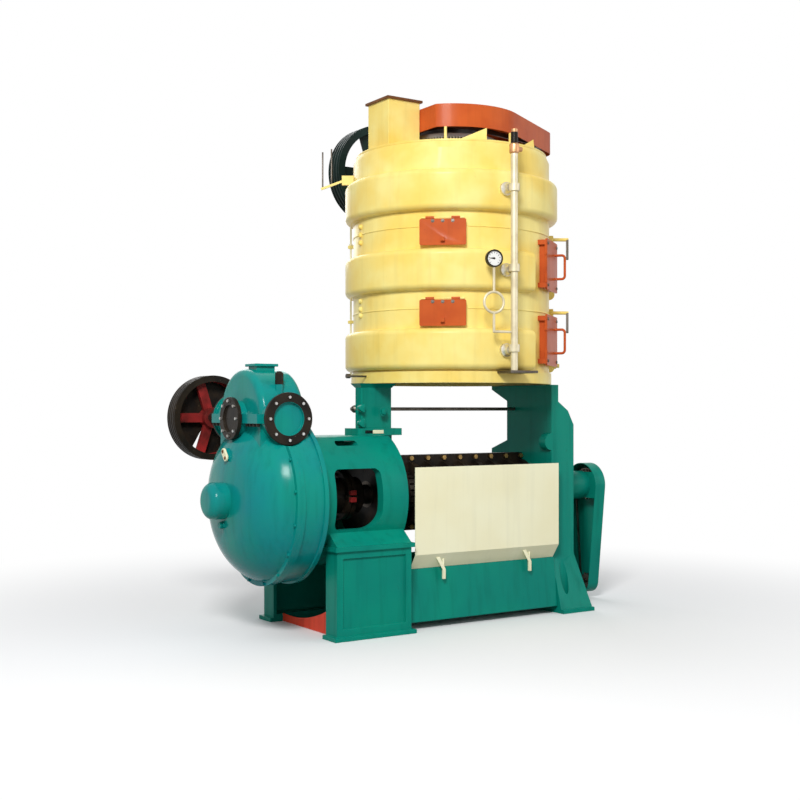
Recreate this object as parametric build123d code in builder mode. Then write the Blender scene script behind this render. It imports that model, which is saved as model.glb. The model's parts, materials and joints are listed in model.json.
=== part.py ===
from build123d import *
from math import atan, cos, degrees, hypot, pi, radians, sin, sqrt
import os

# Screw oil press with a three-deck steam cooker above the pressing barrel.
# Millimetres. X runs along the barrel from the gearbox to the cake end, Y away from
# the operator's side, Z up. The origin is the middle of the foundation bolts, on the floor.

# Main lines
SHAFT_HEIGHT = 793
INPUT_RISE = 472
DRUM_LEFT = -979
DRUM_LENGTH = 589
BARREL_LENGTH = 1167
END_FRAME_LENGTH = 190
HOOD_LENGTH = 364
COOKER_X = 212
COOKER_BASE = 1478
RUN_GAP = 0.05
SLIDE_GAP = 0.3
OVERRUN = 5
QUARTER_TURN = 90

# Stand under the gearbox end
LEG_LEFT = -908
LEG_LENGTH = 508
LEG_FRONT = 455
LEG_DEPTH = 130
LEG_HEIGHT = 508
LEG_WALL = 22
LEG_RECESS = 12
LEG_BORDER = 42
FOOT_THICKNESS = 24
FOOT_LIP = 23
BOLT_HOLE_RADIUS = 14
BOLT_EDGE = 60
BOLT_INSET = 80
BOLT_POCKET_RADIUS = 30
WEB_THICKNESS = 12
WEB_FRONT_HEIGHT = 187
WEB_REAR_HEIGHT = 50
WEB_STEP = 63

# Left frame: round drum with a window on each side, on a flared ledge
DRUM_RADIUS = 408
DRUM_WALL = 60
DRUM_TOP = 365
DRUM_END_WALL = 45
LEDGE_THICKNESS = 26
LEDGE_LIP = 15
SKIRT_HEIGHT = 100
SKIRT_TOP_HALF = 330
WINDOW_LEFT = -882
WINDOW_LENGTH = 314
WINDOW_BOTTOM = 621
WINDOW_HEIGHT = 352
WINDOW_CORNER = 40
WINDOW_BIG_CORNER = 110
SLOT_LENGTH = 150
SLOT_HEIGHT = 30
SLOT_DROP = 40

# Feed column between cooker and barrel
COLUMN_LEFT = -493
COLUMN_LENGTH = 223
COLUMN_DEPTH = 76
COLUMN_WALL = 12
COLUMN_FOOT_LENGTH = 320
COLUMN_FOOT_DEPTH = 170
COLUMN_FOOT_HEIGHT = 43
COLUMN_HEAD_LIP = 20
COLUMN_HEAD_HEIGHT = 26
COLUMN_POCKET_SLOPE = 60
COLUMN_SLOT_LENGTH = 80
COLUMN_SLOT_HEIGHT = 20
COLUMN_LUG_RADIUS = 24
COLUMN_ROUND = 10

# Right frame at the cake end
FRAME_FRONT = 335
FRAME_BACK = 300
FRAME_NECK_BACK = 130
FRAME_WALL = 24
FRAME_NECK_BOTTOM = 1108
FRAME_NECK_TOP = 1375
FRAME_NECK_FLARE = 60
FRAME_HEAD_LENGTH = 58
FRAME_HEAD_BOTTOM = 1369
FRAME_SHOULDER_LENGTH = 141
FRAME_SHOULDER_TOP = 1309
FRAME_SHOULDER_BOTTOM = 1217
FRAME_BOSS_BOTTOM = 1052
FRAME_BOSS_HEIGHT = 110
FRAME_BOSS_DEPTH = 60
FRAME_FOOT_HEIGHT = 372
FRAME_FOOT_HALF = 431
FRAME_FOOT_LENGTH = 266
FRAME_CAVITY_TOP = 1020
FRAME_OUTLET_HALF = 150
FRAME_OUTLET_BOTTOM = 420
FRAME_OUTLET_HEIGHT = 220
TIE_ROD_HEIGHT = 1320
TIE_ROD_RADIUS = 11
TIE_ROD_Y = 50
TIE_ROD_END = 21

# Oil bed under the barrel
BED_HALF = 360
BED_BASE_HALF = 400
BED_TOP = 362
BED_BOTTOM = 45
BED_WALL = 14

# Gearbox
RING_RADIUS = 495
RING_FLANGE_RADIUS = 506
RING_FLANGE_THICKNESS = 26
RING_LENGTH = 182
RING_WALL = 22
BACK_WALL = 34
DOME_LIP_RADIUS = 480
DOME_SHOULDER_RADIUS = 400
DOME_SHOULDER_REACH = 139
DOME_FACE_RADIUS = 230
DOME_FACE_REACH = 221
DOME_WALL = 20
HUB_RADIUS = 107
HUB_BASE_REACH = 240
HUB_REACH = 352
HUB_ROUND = 50
HUB_END_WALL = 22
LOBE_LENGTH = 282
LOBE_HALF = 287
LOBE_LOWER_HALF = 262
LOBE_WALL = 22
LOBE_ROUND = 40
SPLIT_FLANGE = 27
SPLIT_LIP = 40
SPLIT_SIDE_LIP = 14
INSPECTION_LENGTH = 150
INSPECTION_WIDTH = 136
INSPECTION_NECK = 16
INSPECTION_PLATE = 16
INPUT_HOUSING_REACH = 335
INPUT_HOUSING_RADIUS = 132
INPUT_HOUSING_DEPTH = 120
INPUT_CAP_RADIUS = 149
INPUT_CAP_THICKNESS = 22
CAP_EYE_SHARE = 0.63
CROSS_HOUSING_RADIUS = 104
CROSS_HOUSING_DEPTH = 80
CROSS_HOUSING_STEP = 46
CROSS_CAP_RADIUS = 124
CROSS_CAP_THICKNESS = 24
BOLT_RADIUS = 9
BOLT_HEAD = 11
CAP_BOLTS = 8
RING_BOLTS = 12
RING_BOLT_START = 150
RING_BOLT_ARC = 240
SIGHT_RADIUS = 22
SIGHT_LENGTH = 84
SIGHT_TILT = 50
SIGHT_ACROSS = -11
SIGHT_RISE = 264
SIGHT_REACH = 228
SIGHT_DEPTH = 12
CUP_RADIUS = 24
CUP_HEIGHT = 76
CUP_OFFSET = 235
DRAIN_ACROSS = 9
DRAIN_DROP = 141
DRAIN_RADIUS = 22
DRAIN_SEAT = 246
DRAIN_REACH = 262

# Gear train inside the gearbox
PINION_TEETH = 14
MAIN_GEAR_TEETH = 66
MAIN_GEAR_FACE = 78
MAIN_GEAR_WEB = 30
MAIN_GEAR_RIM = 50
GEAR_HUB_RADIUS = 120
GEAR_WINDOW_SHARE = 0.34
GEAR_WINDOWS = 6
PINION_EXTRA = 4
GEAR_END_GAP = 27
BEVEL_PINION_TEETH = 16
BEVEL_GEAR_TEETH = 40
BEVEL_PINION_RADIUS = 50
FACE_SHARE = 0.24
ADDENDUM_SHARE = 0.8
DEDENDUM_SHARE = 1.1
TOOTH_SHARES = ((-0.29, 0), (-0.13, 1), (0.13, 1), (0.29, 0))
CROWN_ROOT_SHARE = 0.26
CROWN_TIP_SHARE = 0.15
CROWN_BLANK = 22
GEAR_TURN_SHARE = 0.5
INPUT_SHAFT_RADIUS = 38
BEARING_WALL = 22
BEARING_LENGTH = 34
INPUT_PULLEY_Y = 709
INPUT_PULLEY_RADIUS = 267

# Pulleys, both cast with spokes and V grooves
PULLEY_WIDTH_SHARE = 0.42
PULLEY_RIM_SHARE = 0.15
PULLEY_HUB_SHARE = 0.24
SPOKE_SHARE = 0.22
SPOKE_DEPTH_SHARE = 0.10
GROOVE_SHARES = (-0.375, -0.125, 0.125, 0.375)
GROOVE_DEPTH_SHARE = 0.05
SPOKES = 5

# Worm shaft
WORM_SHAFT_RADIUS = 60
WORM_CORE_RADIUS = 74
WORM_CORE_GROWTH = 4
WORM_OUTER_RADIUS = 104
WORM_FLIGHT = 18
WORM_SECTIONS = 6
WORM_GAP_SHARE = 0.16
WORM_END_CLEARANCE = 12
WORM_TURNS_SHARE = 0.9
COUPLING_RADIUS = 110
COUPLING_LENGTH = 210
COUPLING_FLANGE_RADIUS = 150
COUPLING_FLANGE = 26
COUPLING_SLIT = 8
COUPLING_RIGHT = -515

# Pressing barrel
BAR_GAP = 3
BAR_COUNT = 20
BAR_HEIGHT = 24
BAR_SHARE = 0.86
CAGE_RIB_RADIUS = 196
CAGE_RIB = 34
CAGE_RIBS = 9
CAGE_FLANGE_TOP = 237
CAGE_FLANGE = 30
CAGE_BOLT_RADIUS = 12
CAGE_BOLT_HEAD_RADIUS = 16
CAGE_BOLT_HEAD = 16
FEED_LENGTH = 124
CHOKE_LENGTH = 60
CHOKE_WALL = 18

# Cream splash guard
GUARD_LEFT = -350
GUARD_LENGTH = 1115
GUARD_FRONT = 420
GUARD_BOTTOM = 450
GUARD_HEIGHT = 522
GUARD_WALL = 4
HOOK_RADIUS = 7
HOOK_DROP = 70
HOOK_STAND = 17
HOOK_SHARES = (0.2, 0.8)

# Cake-end hood, chain case and oil-bed screw
HOOD_WALL = 14
CHAIN_CASE_DEPTH = 90
CHAIN_CASE_WALL = 5
CHAIN_CASE_RADIUS = 150
CHAIN_CASE_LOWER_RADIUS = 80
SCREW_HEIGHT = 120
SCREW_SHAFT_RADIUS = 18
SCREW_RADIUS = 52
SCREW_FLIGHT = 8
SCREW_PITCH = 180
SCREW_END_GAP = 20
BUSH_WALL = 12
SPROCKET_TEETH = 20
SMALL_SPROCKET_TEETH = 10
SPROCKET_RADIUS = 105
SPROCKET_THICKNESS = 14
SPROCKET_TOOTH = 10
SPROCKET_X_SHARE = 0.5
CHAIN_THICKNESS = 9
STRAP_HEIGHT = 90

# Cooker vessel
COOKER_RADIUS = 632
SHELL_WALL = 14
FOOT_RING_RADIUS = 646
FOOT_RING_HEIGHT = 69
JACKET_RADIUS = 684
JACKET_HEIGHT = 246
JACKET_PITCH = 475
JACKET_START = 79
JACKET_WALL = 8
JACKET_ROUND = 36
JACKET_GAP_START = 13.5
JACKET_GAP_END = 62
DECKS = 3
DECK_RISE = 50
DECK_THICKNESS = 16
COOKER_HEIGHT = 1447
NECK_RADIUS = 614
SHOULDER_HEIGHT = 40
LID_THICKNESS = 14

# Cooker drive on the lid
STIRRER_RADIUS = 42
STIRRER_ARM = 30
STIRRER_ARM_DEPTH = 60
STIRRER_ARM_CLEARANCE = 24
STIRRER_TIP_CLEARANCE = 46
STIRRER_HUB_RADIUS = 85
STIRRER_END = 3160
CROWN_RADIUS = 300
CROWN_TEETH = 100
CROWN_PINION_TEETH = 11
CROWN_TURN_SHARE = 0.25
TOP_PULLEY_Y = 926
TOP_PULLEY_RADIUS = 342
TOP_SHAFT_RADIUS = 34
TOP_SHAFT_HEIGHT = 2981
PILLOW_WIDTH = 130
PILLOW_LENGTH = 50
PILLOW_CAP = 12
PILLOW_SHARES = (0.78, 0.95)
COVER_BOTTOM = 3048
COVER_HEIGHT = 142
COVER_RADIUS = 450
COVER_END_X = 895
COVER_END_RADIUS = 119
COVER_WALL = 5
COVER_GAP = 4
COVER_POST_RADIUS = 9
POST_ANGLES = (-40, 20, 160, -150)
SIDE_SHAFT_RADIUS = 16
SIDE_WHEEL_RADIUS = 70
CENTRE_WHEEL_RADIUS = 210
WHEEL_THICKNESS = 30
SIDE_BRACKET_DROP = 165
SIDE_BRACKET_EDGE = 65
SIDE_BRACKET_WIDTH = 120
SIDE_BRACKET_MARGIN = 60

# Meal chute on the lid
CHUTE_LEFT = -357
CHUTE_FRONT = -135
CHUTE_LENGTH = 232
CHUTE_WIDTH = 235
CHUTE_TOP = 3228
CHUTE_WALL = 6
CHUTE_LIP = 12

# Doors on the vessel
FRONT_DOOR_ANGLE = -40
FRONT_DOOR_WIDTH = 259
FRONT_DOOR_HEIGHT = 136
FRONT_DOOR_HEIGHTS = (1893, 2374)
FRONT_NECK_REACH = 14
SIDE_DOOR_ANGLE = 37.8
SIDE_DOOR_WIDTH = 290
SIDE_DOOR_HEIGHT = 296
SIDE_DOOR_HEIGHTS = (1749, 2220)
SIDE_NECK_REACH = 22
NECK_WALL = 12
NECK_START = 590
DOOR_THICKNESS = 12
DOOR_LIP = 10
HINGE_PIN_RADIUS = 4
HINGE_LUG_RADIUS = 6
HINGE_SINK = 2
KNUCKLE_RADIUS = 9
KNUCKLE_SHARE = 0.2
LATCH_SIZE = 24
BAIL_RADIUS = 8
BAIL_REACH = 66
BAIL_HEIGHT = 150
BAIL_BEND = 20
BAIL_OFFSET = 70

# Steam line
STEAM_ANGLE = -6.8
STEAM_RADIUS = 21
STEAM_OFFSET = 90
STEAM_BOTTOM = 1548
STEAM_TOP = 2830
UNION_RADIUS = 32
UNION_LENGTH = 44
UNION_STUB_RADIUS = 17
UNION_NUT_RADIUS = 25
UNION_NUT_LENGTH = 18
STEAM_WALL = 4
SHELF_LENGTH = 190
SHELF_OFFSET = 55
SHELF_REACH = 800
SHELF_THICKNESS = 14
VALVE_BODY_RADIUS = 30
VALVE_BODY_HEIGHT = 60
VALVE_BONNET_RADIUS = 20
VALVE_BONNET_HEIGHT = 84
VALVE_NOZZLE_RADIUS = 15
VALVE_NOZZLE_LENGTH = 52
GAUGE_ANGLE = -16.7
GAUGE_HEIGHT = 2204
GAUGE_RADIUS = 50
GAUGE_DEPTH = 30
GAUGE_RIM = 6
GAUGE_RECESS = 8
NEEDLE_LENGTH = 34
NEEDLE_WIDTH = 5
NEEDLE_HUB_RADIUS = 6
NEEDLE_THICKNESS = 2
SIPHON_RADIUS = 61
SIPHON_TUBE = 8
SIPHON_HEIGHT = 1947
SIPHON_ENTRY = 1775

# Levers and links on the vessel
GATE_ANGLE = 57
GATE_DROP = 60
GATE_SHAFT_RADIUS = 11
GATE_SHAFT_REACH = 130
GATE_ARM_LENGTH = 120
GATE_ARM_WIDTH = 14
GATE_BOSS_RADIUS = 26
GATE_BOSS_LENGTH = 30
GATE_INNER = 440
GATE_LENGTH = 128
GATE_WIDTH = 136
GATE_SIDE = 22
GATE_PLATE = 8
GATE_LAP = 10
SLIDE_PLATE = 12
SLIDE_LAP = 8
SLIDE_ROD_LENGTH = 150
SLIDE_KNOB_RADIUS = 14
SLIDE_KNOB_LENGTH = 24
OUTLET_LENGTH = 112
COCK_HEIGHT = 1600
COCK_REACH = 70
COCK_RADIUS = 13
LEVEL_ANGLE = -123
LEVEL_PIVOT_HEIGHT = 2800
LEVEL_PIVOT_OFFSET = 60
LEVEL_SLOPE = 20
LEVEL_ARM_IN = 46
LEVEL_ARM_OUT = 160
LEVEL_ARM = 14
LEVEL_PIN_RADIUS = 6
LEVEL_CHEEK = 8
LEVEL_CHEEK_HEIGHT = 60
LEVEL_ROD_RADIUS = 5
LEVEL_ROD_HEIGHT = 235
LEVEL_ROD_SHARES = (0.55, 0.93)
LINK_ANGLE = -143
LINK_OFFSET = 68
LINK_TOP = 2819
LINK_BOTTOM = 1547
LINK_RADIUS = 6
GUIDE_HEIGHTS = (1900, 2400)
GUIDE_WIDTH = 30
GUIDE_THICKNESS = 20

# Stations worked out from the main lines
DRUM_RIGHT = DRUM_LEFT + DRUM_LENGTH
FRAME_LEFT = DRUM_RIGHT + BARREL_LENGTH
FRAME_RIGHT = FRAME_LEFT + END_FRAME_LENGTH
HOOD_RIGHT = FRAME_RIGHT + HOOD_LENGTH
LEG_RIGHT = LEG_LEFT + LEG_LENGTH
RING_LEFT = DRUM_LEFT - RING_LENGTH
INPUT_HEIGHT = SHAFT_HEIGHT + INPUT_RISE
CASE_INSIDE = DRUM_LEFT - BACK_WALL
LOBE_LEFT = CASE_INSIDE - LOBE_LENGTH
FOUNDATION_LEFT = LEG_LEFT + BOLT_EDGE
FOUNDATION_HALF = LEG_FRONT - BOLT_INSET
COOKER_TOP = COOKER_BASE + COOKER_HEIGHT
LID_TOP = COOKER_TOP + LID_THICKNESS
MODULE = 2 * INPUT_RISE / (PINION_TEETH + MAIN_GEAR_TEETH)
PINION_PITCH_RADIUS = MODULE * PINION_TEETH / 2
MAIN_PITCH_RADIUS = MODULE * MAIN_GEAR_TEETH / 2
BEVEL_MODULE = 2 * BEVEL_PINION_RADIUS / BEVEL_PINION_TEETH
BEVEL_GEAR_RADIUS = BEVEL_MODULE * BEVEL_GEAR_TEETH / 2
CROWN_MODULE = 2 * CROWN_RADIUS / CROWN_TEETH
CROWN_PINION_RADIUS = CROWN_MODULE * CROWN_PINION_TEETH / 2
INNER_RADIUS = COOKER_RADIUS - SHELL_WALL

worm_axis = Axis((0, 0, SHAFT_HEIGHT), (1, 0, 0))
cooker_axis = Axis((COOKER_X, 0, 0), (0, 0, 1))


def along(x, height=SHAFT_HEIGHT):
    """Plane across an X axis at the given height: sketch x is Y, sketch y is Z."""
    return Plane(origin=(x, 0, height), x_dir=(0, 1, 0), z_dir=(1, 0, 0))


def across(y, x, height):
    """Plane across a Y axis: sketch x is -X, sketch y is Z."""
    return Plane(origin=(x, y, height), x_dir=(-1, 0, 0), z_dir=(0, 1, 0))


def level(height):
    """Plane square to the cooker's axis, centred on it."""
    return Plane(origin=(COOKER_X, 0, height), x_dir=(1, 0, 0), z_dir=(0, 0, 1))


def radial(angle, radius, height):
    """Plane facing out of the vessel, its angle counted from the front towards +X."""
    out = (sin(radians(angle)), -cos(radians(angle)), 0)
    side = (cos(radians(angle)), sin(radians(angle)), 0)
    place = (COOKER_X + radius * out[0], radius * out[1], height)
    return Plane(origin=place, x_dir=side, z_dir=out)


def tooth_points(teeth, root_radius, tip_radius, turn_share=0):
    """Outline of a toothed wheel, with the first tooth centred turn_share of a pitch round."""
    points = []
    for tooth in range(teeth):
        for side_share, height_share in TOOTH_SHARES:
            angle = 2 * pi * (tooth + turn_share + side_share) / teeth
            radius = root_radius + height_share * (tip_radius - root_radius)
            points.append((radius * cos(angle), radius * sin(angle)))
    return points


def toothed_wheel(plane, teeth, root_radius, tip_radius, face, bore, turn_share=0):
    """Flat toothed wheel with a bore, standing on the plane."""
    with BuildPart() as wheel:
        with BuildSketch(plane):
            with BuildLine():
                Polyline(*tooth_points(teeth, root_radius, tip_radius, turn_share), close=True)
            make_face()
            Circle(bore, mode=Mode.SUBTRACT)
        extrude(amount=face)
    return wheel


def crown_wheel(plane, teeth, radius, mate_radius, module, bore):
    """Face gear whose teeth rise towards the apex plane that its mate's axis lies in."""
    root_gap = mate_radius + DEDENDUM_SHARE * module
    tooth_height = (ADDENDUM_SHARE + DEDENDUM_SHARE) * module
    inner = radius * (1 - FACE_SHARE)
    taper = degrees(atan((CROWN_ROOT_SHARE - CROWN_TIP_SHARE) * module * pi / tooth_height))
    with BuildPart() as wheel:
        with BuildSketch(plane.offset(root_gap)):
            Circle(radius)
            Circle(bore, mode=Mode.SUBTRACT)
        extrude(amount=CROWN_BLANK)
        half_out = CROWN_ROOT_SHARE * 2 * pi * radius / teeth
        half_in = CROWN_ROOT_SHARE * 2 * pi * inner / teeth
        with BuildSketch(plane.offset(root_gap)):
            with PolarLocations(0, teeth):
                Polygon(
                    (inner, -half_in), (radius, -half_out), (radius, half_out), (inner, half_in), align=None
                )
        extrude(amount=-tooth_height, taper=taper)
    return wheel


def bevel_pinion(plane, teeth, radius, mate_radius, module, turn_share=0):
    """Tapered pinion: the plane lies at the apex and faces the pinion's big end."""
    tip = radius + ADDENDUM_SHARE * module
    root = radius - DEDENDUM_SHARE * module
    small = 1 - FACE_SHARE
    with BuildPart() as pinion:
        with BuildSketch(plane.offset(mate_radius)):
            with BuildLine():
                Polyline(*tooth_points(teeth, root, tip, turn_share), close=True)
            make_face()
        with BuildSketch(plane.offset(mate_radius * small)):
            with BuildLine():
                Polyline(*tooth_points(teeth, root * small, tip * small, turn_share), close=True)
            make_face()
        loft(ruled=True)
    return pinion


def spoked_pulley(plane, radius, bore):
    """Cast V-belt pulley centred on the plane, with a deep rim, spokes and a hub."""
    width = radius * PULLEY_WIDTH_SHARE
    rim = radius * PULLEY_RIM_SHARE
    hub = radius * PULLEY_HUB_SHARE
    spoke = radius * SPOKE_SHARE
    groove = radius * GROOVE_DEPTH_SHARE
    pitch = (GROOVE_SHARES[1] - GROOVE_SHARES[0]) * width
    with BuildPart() as pulley:
        with BuildSketch(plane.offset(-width / 2)):
            Circle(radius)
            Circle(radius - rim, mode=Mode.SUBTRACT)
        extrude(amount=width)
        with BuildSketch(plane.offset(-width / 2)):
            Circle(hub)
        extrude(amount=width)
        with BuildSketch(plane.offset(-radius * SPOKE_DEPTH_SHARE / 2)):
            with PolarLocations((hub + radius - rim) / 2, SPOKES):
                Rectangle(radius - rim - hub + spoke / 2, spoke)
        extrude(amount=radius * SPOKE_DEPTH_SHARE)
        side = Plane(origin=plane.origin, x_dir=plane.x_dir, z_dir=-plane.y_dir)
        with BuildSketch(side):
            for share in GROOVE_SHARES:
                middle = share * width
                with BuildLine():
                    Polyline(
                        (radius + groove, middle - pitch / 2),
                        (radius - groove, middle - pitch / 8),
                        (radius - groove, middle + pitch / 8),
                        (radius + groove, middle + pitch / 2),
                        close=True,
                    )
                make_face()
        revolve(axis=Axis(plane.origin, plane.z_dir), mode=Mode.SUBTRACT)
        with BuildSketch(plane.offset(-width / 2)):
            Circle(bore)
        extrude(amount=width, mode=Mode.SUBTRACT)
    return pulley


def ring(plane, outer, inner, length):
    """Plain ring standing on the plane."""
    with BuildPart() as band:
        with BuildSketch(plane):
            Circle(outer)
            Circle(inner, mode=Mode.SUBTRACT)
        extrude(amount=length)
    return band


def screw_flight(start, pitch, length, core, outer, thickness, height):
    """One helical flight round an X axis at the given height."""
    with BuildPart() as flight:
        with BuildLine():
            turn = Helix(pitch, length, core, center=(start, 0, height), direction=(1, 0, 0))
        outward = turn @ 0 - Vector(start, 0, height)
        with BuildSketch(Plane(origin=turn @ 0, x_dir=outward, z_dir=turn % 0)):
            with Locations(((outer - core) / 2 - thickness / 4, 0)):
                Rectangle(outer - core + thickness / 2, thickness)
        sweep(is_frenet=True)
    return flight


# Stand: front and rear legs, each a box casting with a sunk panel and a foot flange
def stand_leg(side):
    """Leg on one side: side is -1 at the front and 1 at the rear."""
    middle = (LEG_LEFT + LEG_RIGHT) / 2
    centre = side * (LEG_FRONT - LEG_DEPTH / 2)
    face_centre = (middle, side * LEG_FRONT, (FOOT_THICKNESS + LEG_HEIGHT) / 2)
    face = Plane(origin=face_centre, x_dir=(-side, 0, 0), z_dir=(0, side, 0))
    with BuildPart() as leg:
        with BuildSketch(Plane.XY.offset(FOOT_THICKNESS)):
            with Locations((middle, centre)):
                Rectangle(LEG_LENGTH, LEG_DEPTH)
        extrude(amount=LEG_HEIGHT - FOOT_THICKNESS)
        with BuildSketch(Plane.XY):
            with Locations((middle, centre + side * FOOT_LIP / 2)):
                Rectangle(LEG_LENGTH + 2 * FOOT_LIP, LEG_DEPTH + FOOT_LIP)
        extrude(amount=FOOT_THICKNESS)
        with BuildSketch(face):
            Rectangle(LEG_LENGTH - 2 * LEG_BORDER, LEG_HEIGHT - FOOT_THICKNESS - 2 * LEG_BORDER)
        extrude(amount=-LEG_RECESS, mode=Mode.SUBTRACT)
        with BuildSketch(face.offset(-LEG_DEPTH)):
            Rectangle(LEG_LENGTH - 2 * LEG_WALL, LEG_HEIGHT - FOOT_THICKNESS - 2 * LEG_WALL)
        extrude(amount=LEG_DEPTH - LEG_RECESS - LEG_WALL, mode=Mode.SUBTRACT)
        with BuildSketch(Plane.XY):
            with Locations((FOUNDATION_LEFT, side * FOUNDATION_HALF)):
                Circle(BOLT_HOLE_RADIUS)
        extrude(amount=FOOT_THICKNESS, mode=Mode.SUBTRACT)
    return leg


front_leg = stand_leg(-1)
rear_leg = stand_leg(1)

# Red pan low between the legs, its top edge a hollow curve
leg_inside = LEG_FRONT - LEG_DEPTH
with BuildPart() as stand_web:
    with BuildSketch(along(LEG_LEFT + WEB_STEP, 0)):
        with BuildLine():
            Line((-leg_inside, 0), (leg_inside, 0))
            Line((leg_inside, 0), (leg_inside, WEB_REAR_HEIGHT))
            SagittaArc((leg_inside, WEB_REAR_HEIGHT), (-leg_inside, WEB_FRONT_HEIGHT), WEB_REAR_HEIGHT)
            Line((-leg_inside, WEB_FRONT_HEIGHT), (-leg_inside, 0))
        make_face()
    extrude(amount=WEB_THICKNESS)

# Left frame: drum, flared skirt and ledge, open towards the gearbox
main_bore = WORM_SHAFT_RADIUS + RUN_GAP + BEARING_WALL
leg_middle = (LEG_LEFT + LEG_RIGHT) / 2
ledge_top = LEG_HEIGHT + LEDGE_THICKNESS
window_middle = WINDOW_LEFT + WINDOW_LENGTH / 2
big_corner = (WINDOW_LEFT + WINDOW_LENGTH, WINDOW_BOTTOM, 0)
with BuildPart() as left_frame:
    with BuildSketch(along(DRUM_LEFT)):
        Circle(DRUM_RADIUS)
        with Locations((0, DRUM_TOP + DRUM_RADIUS / 2)):
            Rectangle(2 * DRUM_RADIUS, DRUM_RADIUS, mode=Mode.SUBTRACT)
    extrude(amount=DRUM_LENGTH)
    with BuildSketch(Plane.XY.offset(LEG_HEIGHT)):
        with Locations((leg_middle, 0)):
            Rectangle(LEG_LENGTH + 2 * LEDGE_LIP, 2 * (LEG_FRONT + LEDGE_LIP))
    extrude(amount=LEDGE_THICKNESS)
    with BuildSketch(Plane.XY.offset(ledge_top)):
        with Locations((leg_middle, 0)):
            Rectangle(LEG_LENGTH, 2 * LEG_FRONT)
    with BuildSketch(Plane.XY.offset(ledge_top + SKIRT_HEIGHT)):
        with Locations((leg_middle, 0)):
            Rectangle(LEG_LENGTH, 2 * SKIRT_TOP_HALF)
    loft()
    with BuildSketch(along(DRUM_LEFT)):
        Circle(DRUM_RADIUS - DRUM_WALL)
    extrude(amount=DRUM_LENGTH - DRUM_END_WALL, mode=Mode.SUBTRACT)
    with BuildSketch(along(DRUM_LEFT)):
        Circle(main_bore)
    extrude(amount=DRUM_LENGTH, mode=Mode.SUBTRACT)
    with BuildSketch(Plane.XZ) as window:
        with Locations((window_middle, WINDOW_BOTTOM + WINDOW_HEIGHT / 2)):
            Rectangle(WINDOW_LENGTH, WINDOW_HEIGHT)
        fillet(window.vertices().sort_by_distance(big_corner)[1:], WINDOW_CORNER)
        fillet(window.vertices().sort_by_distance(big_corner)[0], WINDOW_BIG_CORNER)
    extrude(amount=DRUM_RADIUS, both=True, mode=Mode.SUBTRACT)
    with BuildSketch(Plane.XZ.offset(DRUM_RADIUS)):
        with Locations((window_middle, SHAFT_HEIGHT + DRUM_TOP - SLOT_DROP)):
            SlotOverall(SLOT_LENGTH, SLOT_HEIGHT)
    extrude(amount=-(DRUM_RADIUS - DRUM_WALL), mode=Mode.SUBTRACT)

# Feed column: hollow chute from the cooker's outlet to the barrel's feed opening
column_right = COLUMN_LEFT + COLUMN_LENGTH
column_middle = (COLUMN_LEFT + column_right) / 2
column_base = SHAFT_HEIGHT + DRUM_TOP
outlet_right = column_right - COLUMN_WALL
outlet_left = outlet_right - OUTLET_LENGTH
throat_left = DRUM_RIGHT + COLUMN_WALL
pocket_left = COLUMN_LEFT + COLUMN_WALL
pocket_base = column_base + COLUMN_FOOT_HEIGHT
with BuildPart() as feed_column:
    with BuildSketch(Plane.XY.offset(column_base)):
        with Locations((column_middle, 0)):
            RectangleRounded(COLUMN_LENGTH, COLUMN_DEPTH, COLUMN_ROUND)
    extrude(amount=COOKER_BASE - column_base)
    with BuildSketch(Plane.XY.offset(column_base)):
        with Locations((column_middle, 0)):
            RectangleRounded(COLUMN_FOOT_LENGTH, COLUMN_FOOT_DEPTH, COLUMN_ROUND)
    extrude(amount=COLUMN_FOOT_HEIGHT)
    with BuildSketch(Plane.XY.offset(COOKER_BASE)):
        with Locations((column_middle, 0)):
            Rectangle(COLUMN_LENGTH + 2 * COLUMN_HEAD_LIP, COLUMN_DEPTH + 2 * COLUMN_HEAD_LIP)
    with BuildSketch(Plane.XY.offset(COOKER_BASE - COLUMN_HEAD_HEIGHT)):
        with Locations((column_middle, 0)):
            Rectangle(COLUMN_LENGTH, COLUMN_DEPTH)
    loft()
    with BuildSketch(Plane.XY.offset(SHAFT_HEIGHT)):
        with Locations(((DRUM_RIGHT + column_right) / 2, 0)):
            Rectangle(column_right - DRUM_RIGHT, COLUMN_DEPTH)
    extrude(amount=DRUM_TOP)
    with BuildSketch(Plane.XZ):
        with BuildLine():
            Polyline(
                (outlet_left, COOKER_BASE),
                (outlet_right, COOKER_BASE),
                (outlet_right, SHAFT_HEIGHT),
                (throat_left, SHAFT_HEIGHT),
                (throat_left, pocket_base),
                (pocket_left, pocket_base + COLUMN_POCKET_SLOPE),
                (pocket_left, COOKER_BASE - COLUMN_HEAD_HEIGHT - COLUMN_POCKET_SLOPE),
                (outlet_left, COOKER_BASE - COLUMN_HEAD_HEIGHT),
                close=True,
            )
        make_face()
    extrude(amount=COLUMN_DEPTH / 2 - COLUMN_WALL, both=True, mode=Mode.SUBTRACT)
    with BuildSketch(along(DRUM_RIGHT)):
        Circle(CAGE_RIB_RADIUS)
    extrude(amount=COLUMN_LENGTH, mode=Mode.SUBTRACT)
    with BuildSketch(Plane.XZ):
        with Locations((COLUMN_LEFT + COLUMN_SLOT_LENGTH / 2, column_base + COLUMN_FOOT_HEIGHT / 2)):
            Rectangle(COLUMN_SLOT_LENGTH, COLUMN_SLOT_HEIGHT)
    extrude(amount=COLUMN_FOOT_DEPTH, both=True, mode=Mode.SUBTRACT)
    with BuildSketch(along(COLUMN_LEFT, TIE_ROD_HEIGHT)):
        with Locations((TIE_ROD_Y, 0)):
            Circle(COLUMN_LUG_RADIUS)
        with Locations((TIE_ROD_Y, 0)):
            Circle(TIE_ROD_RADIUS, mode=Mode.SUBTRACT)
    extrude(amount=COLUMN_LENGTH)

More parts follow.
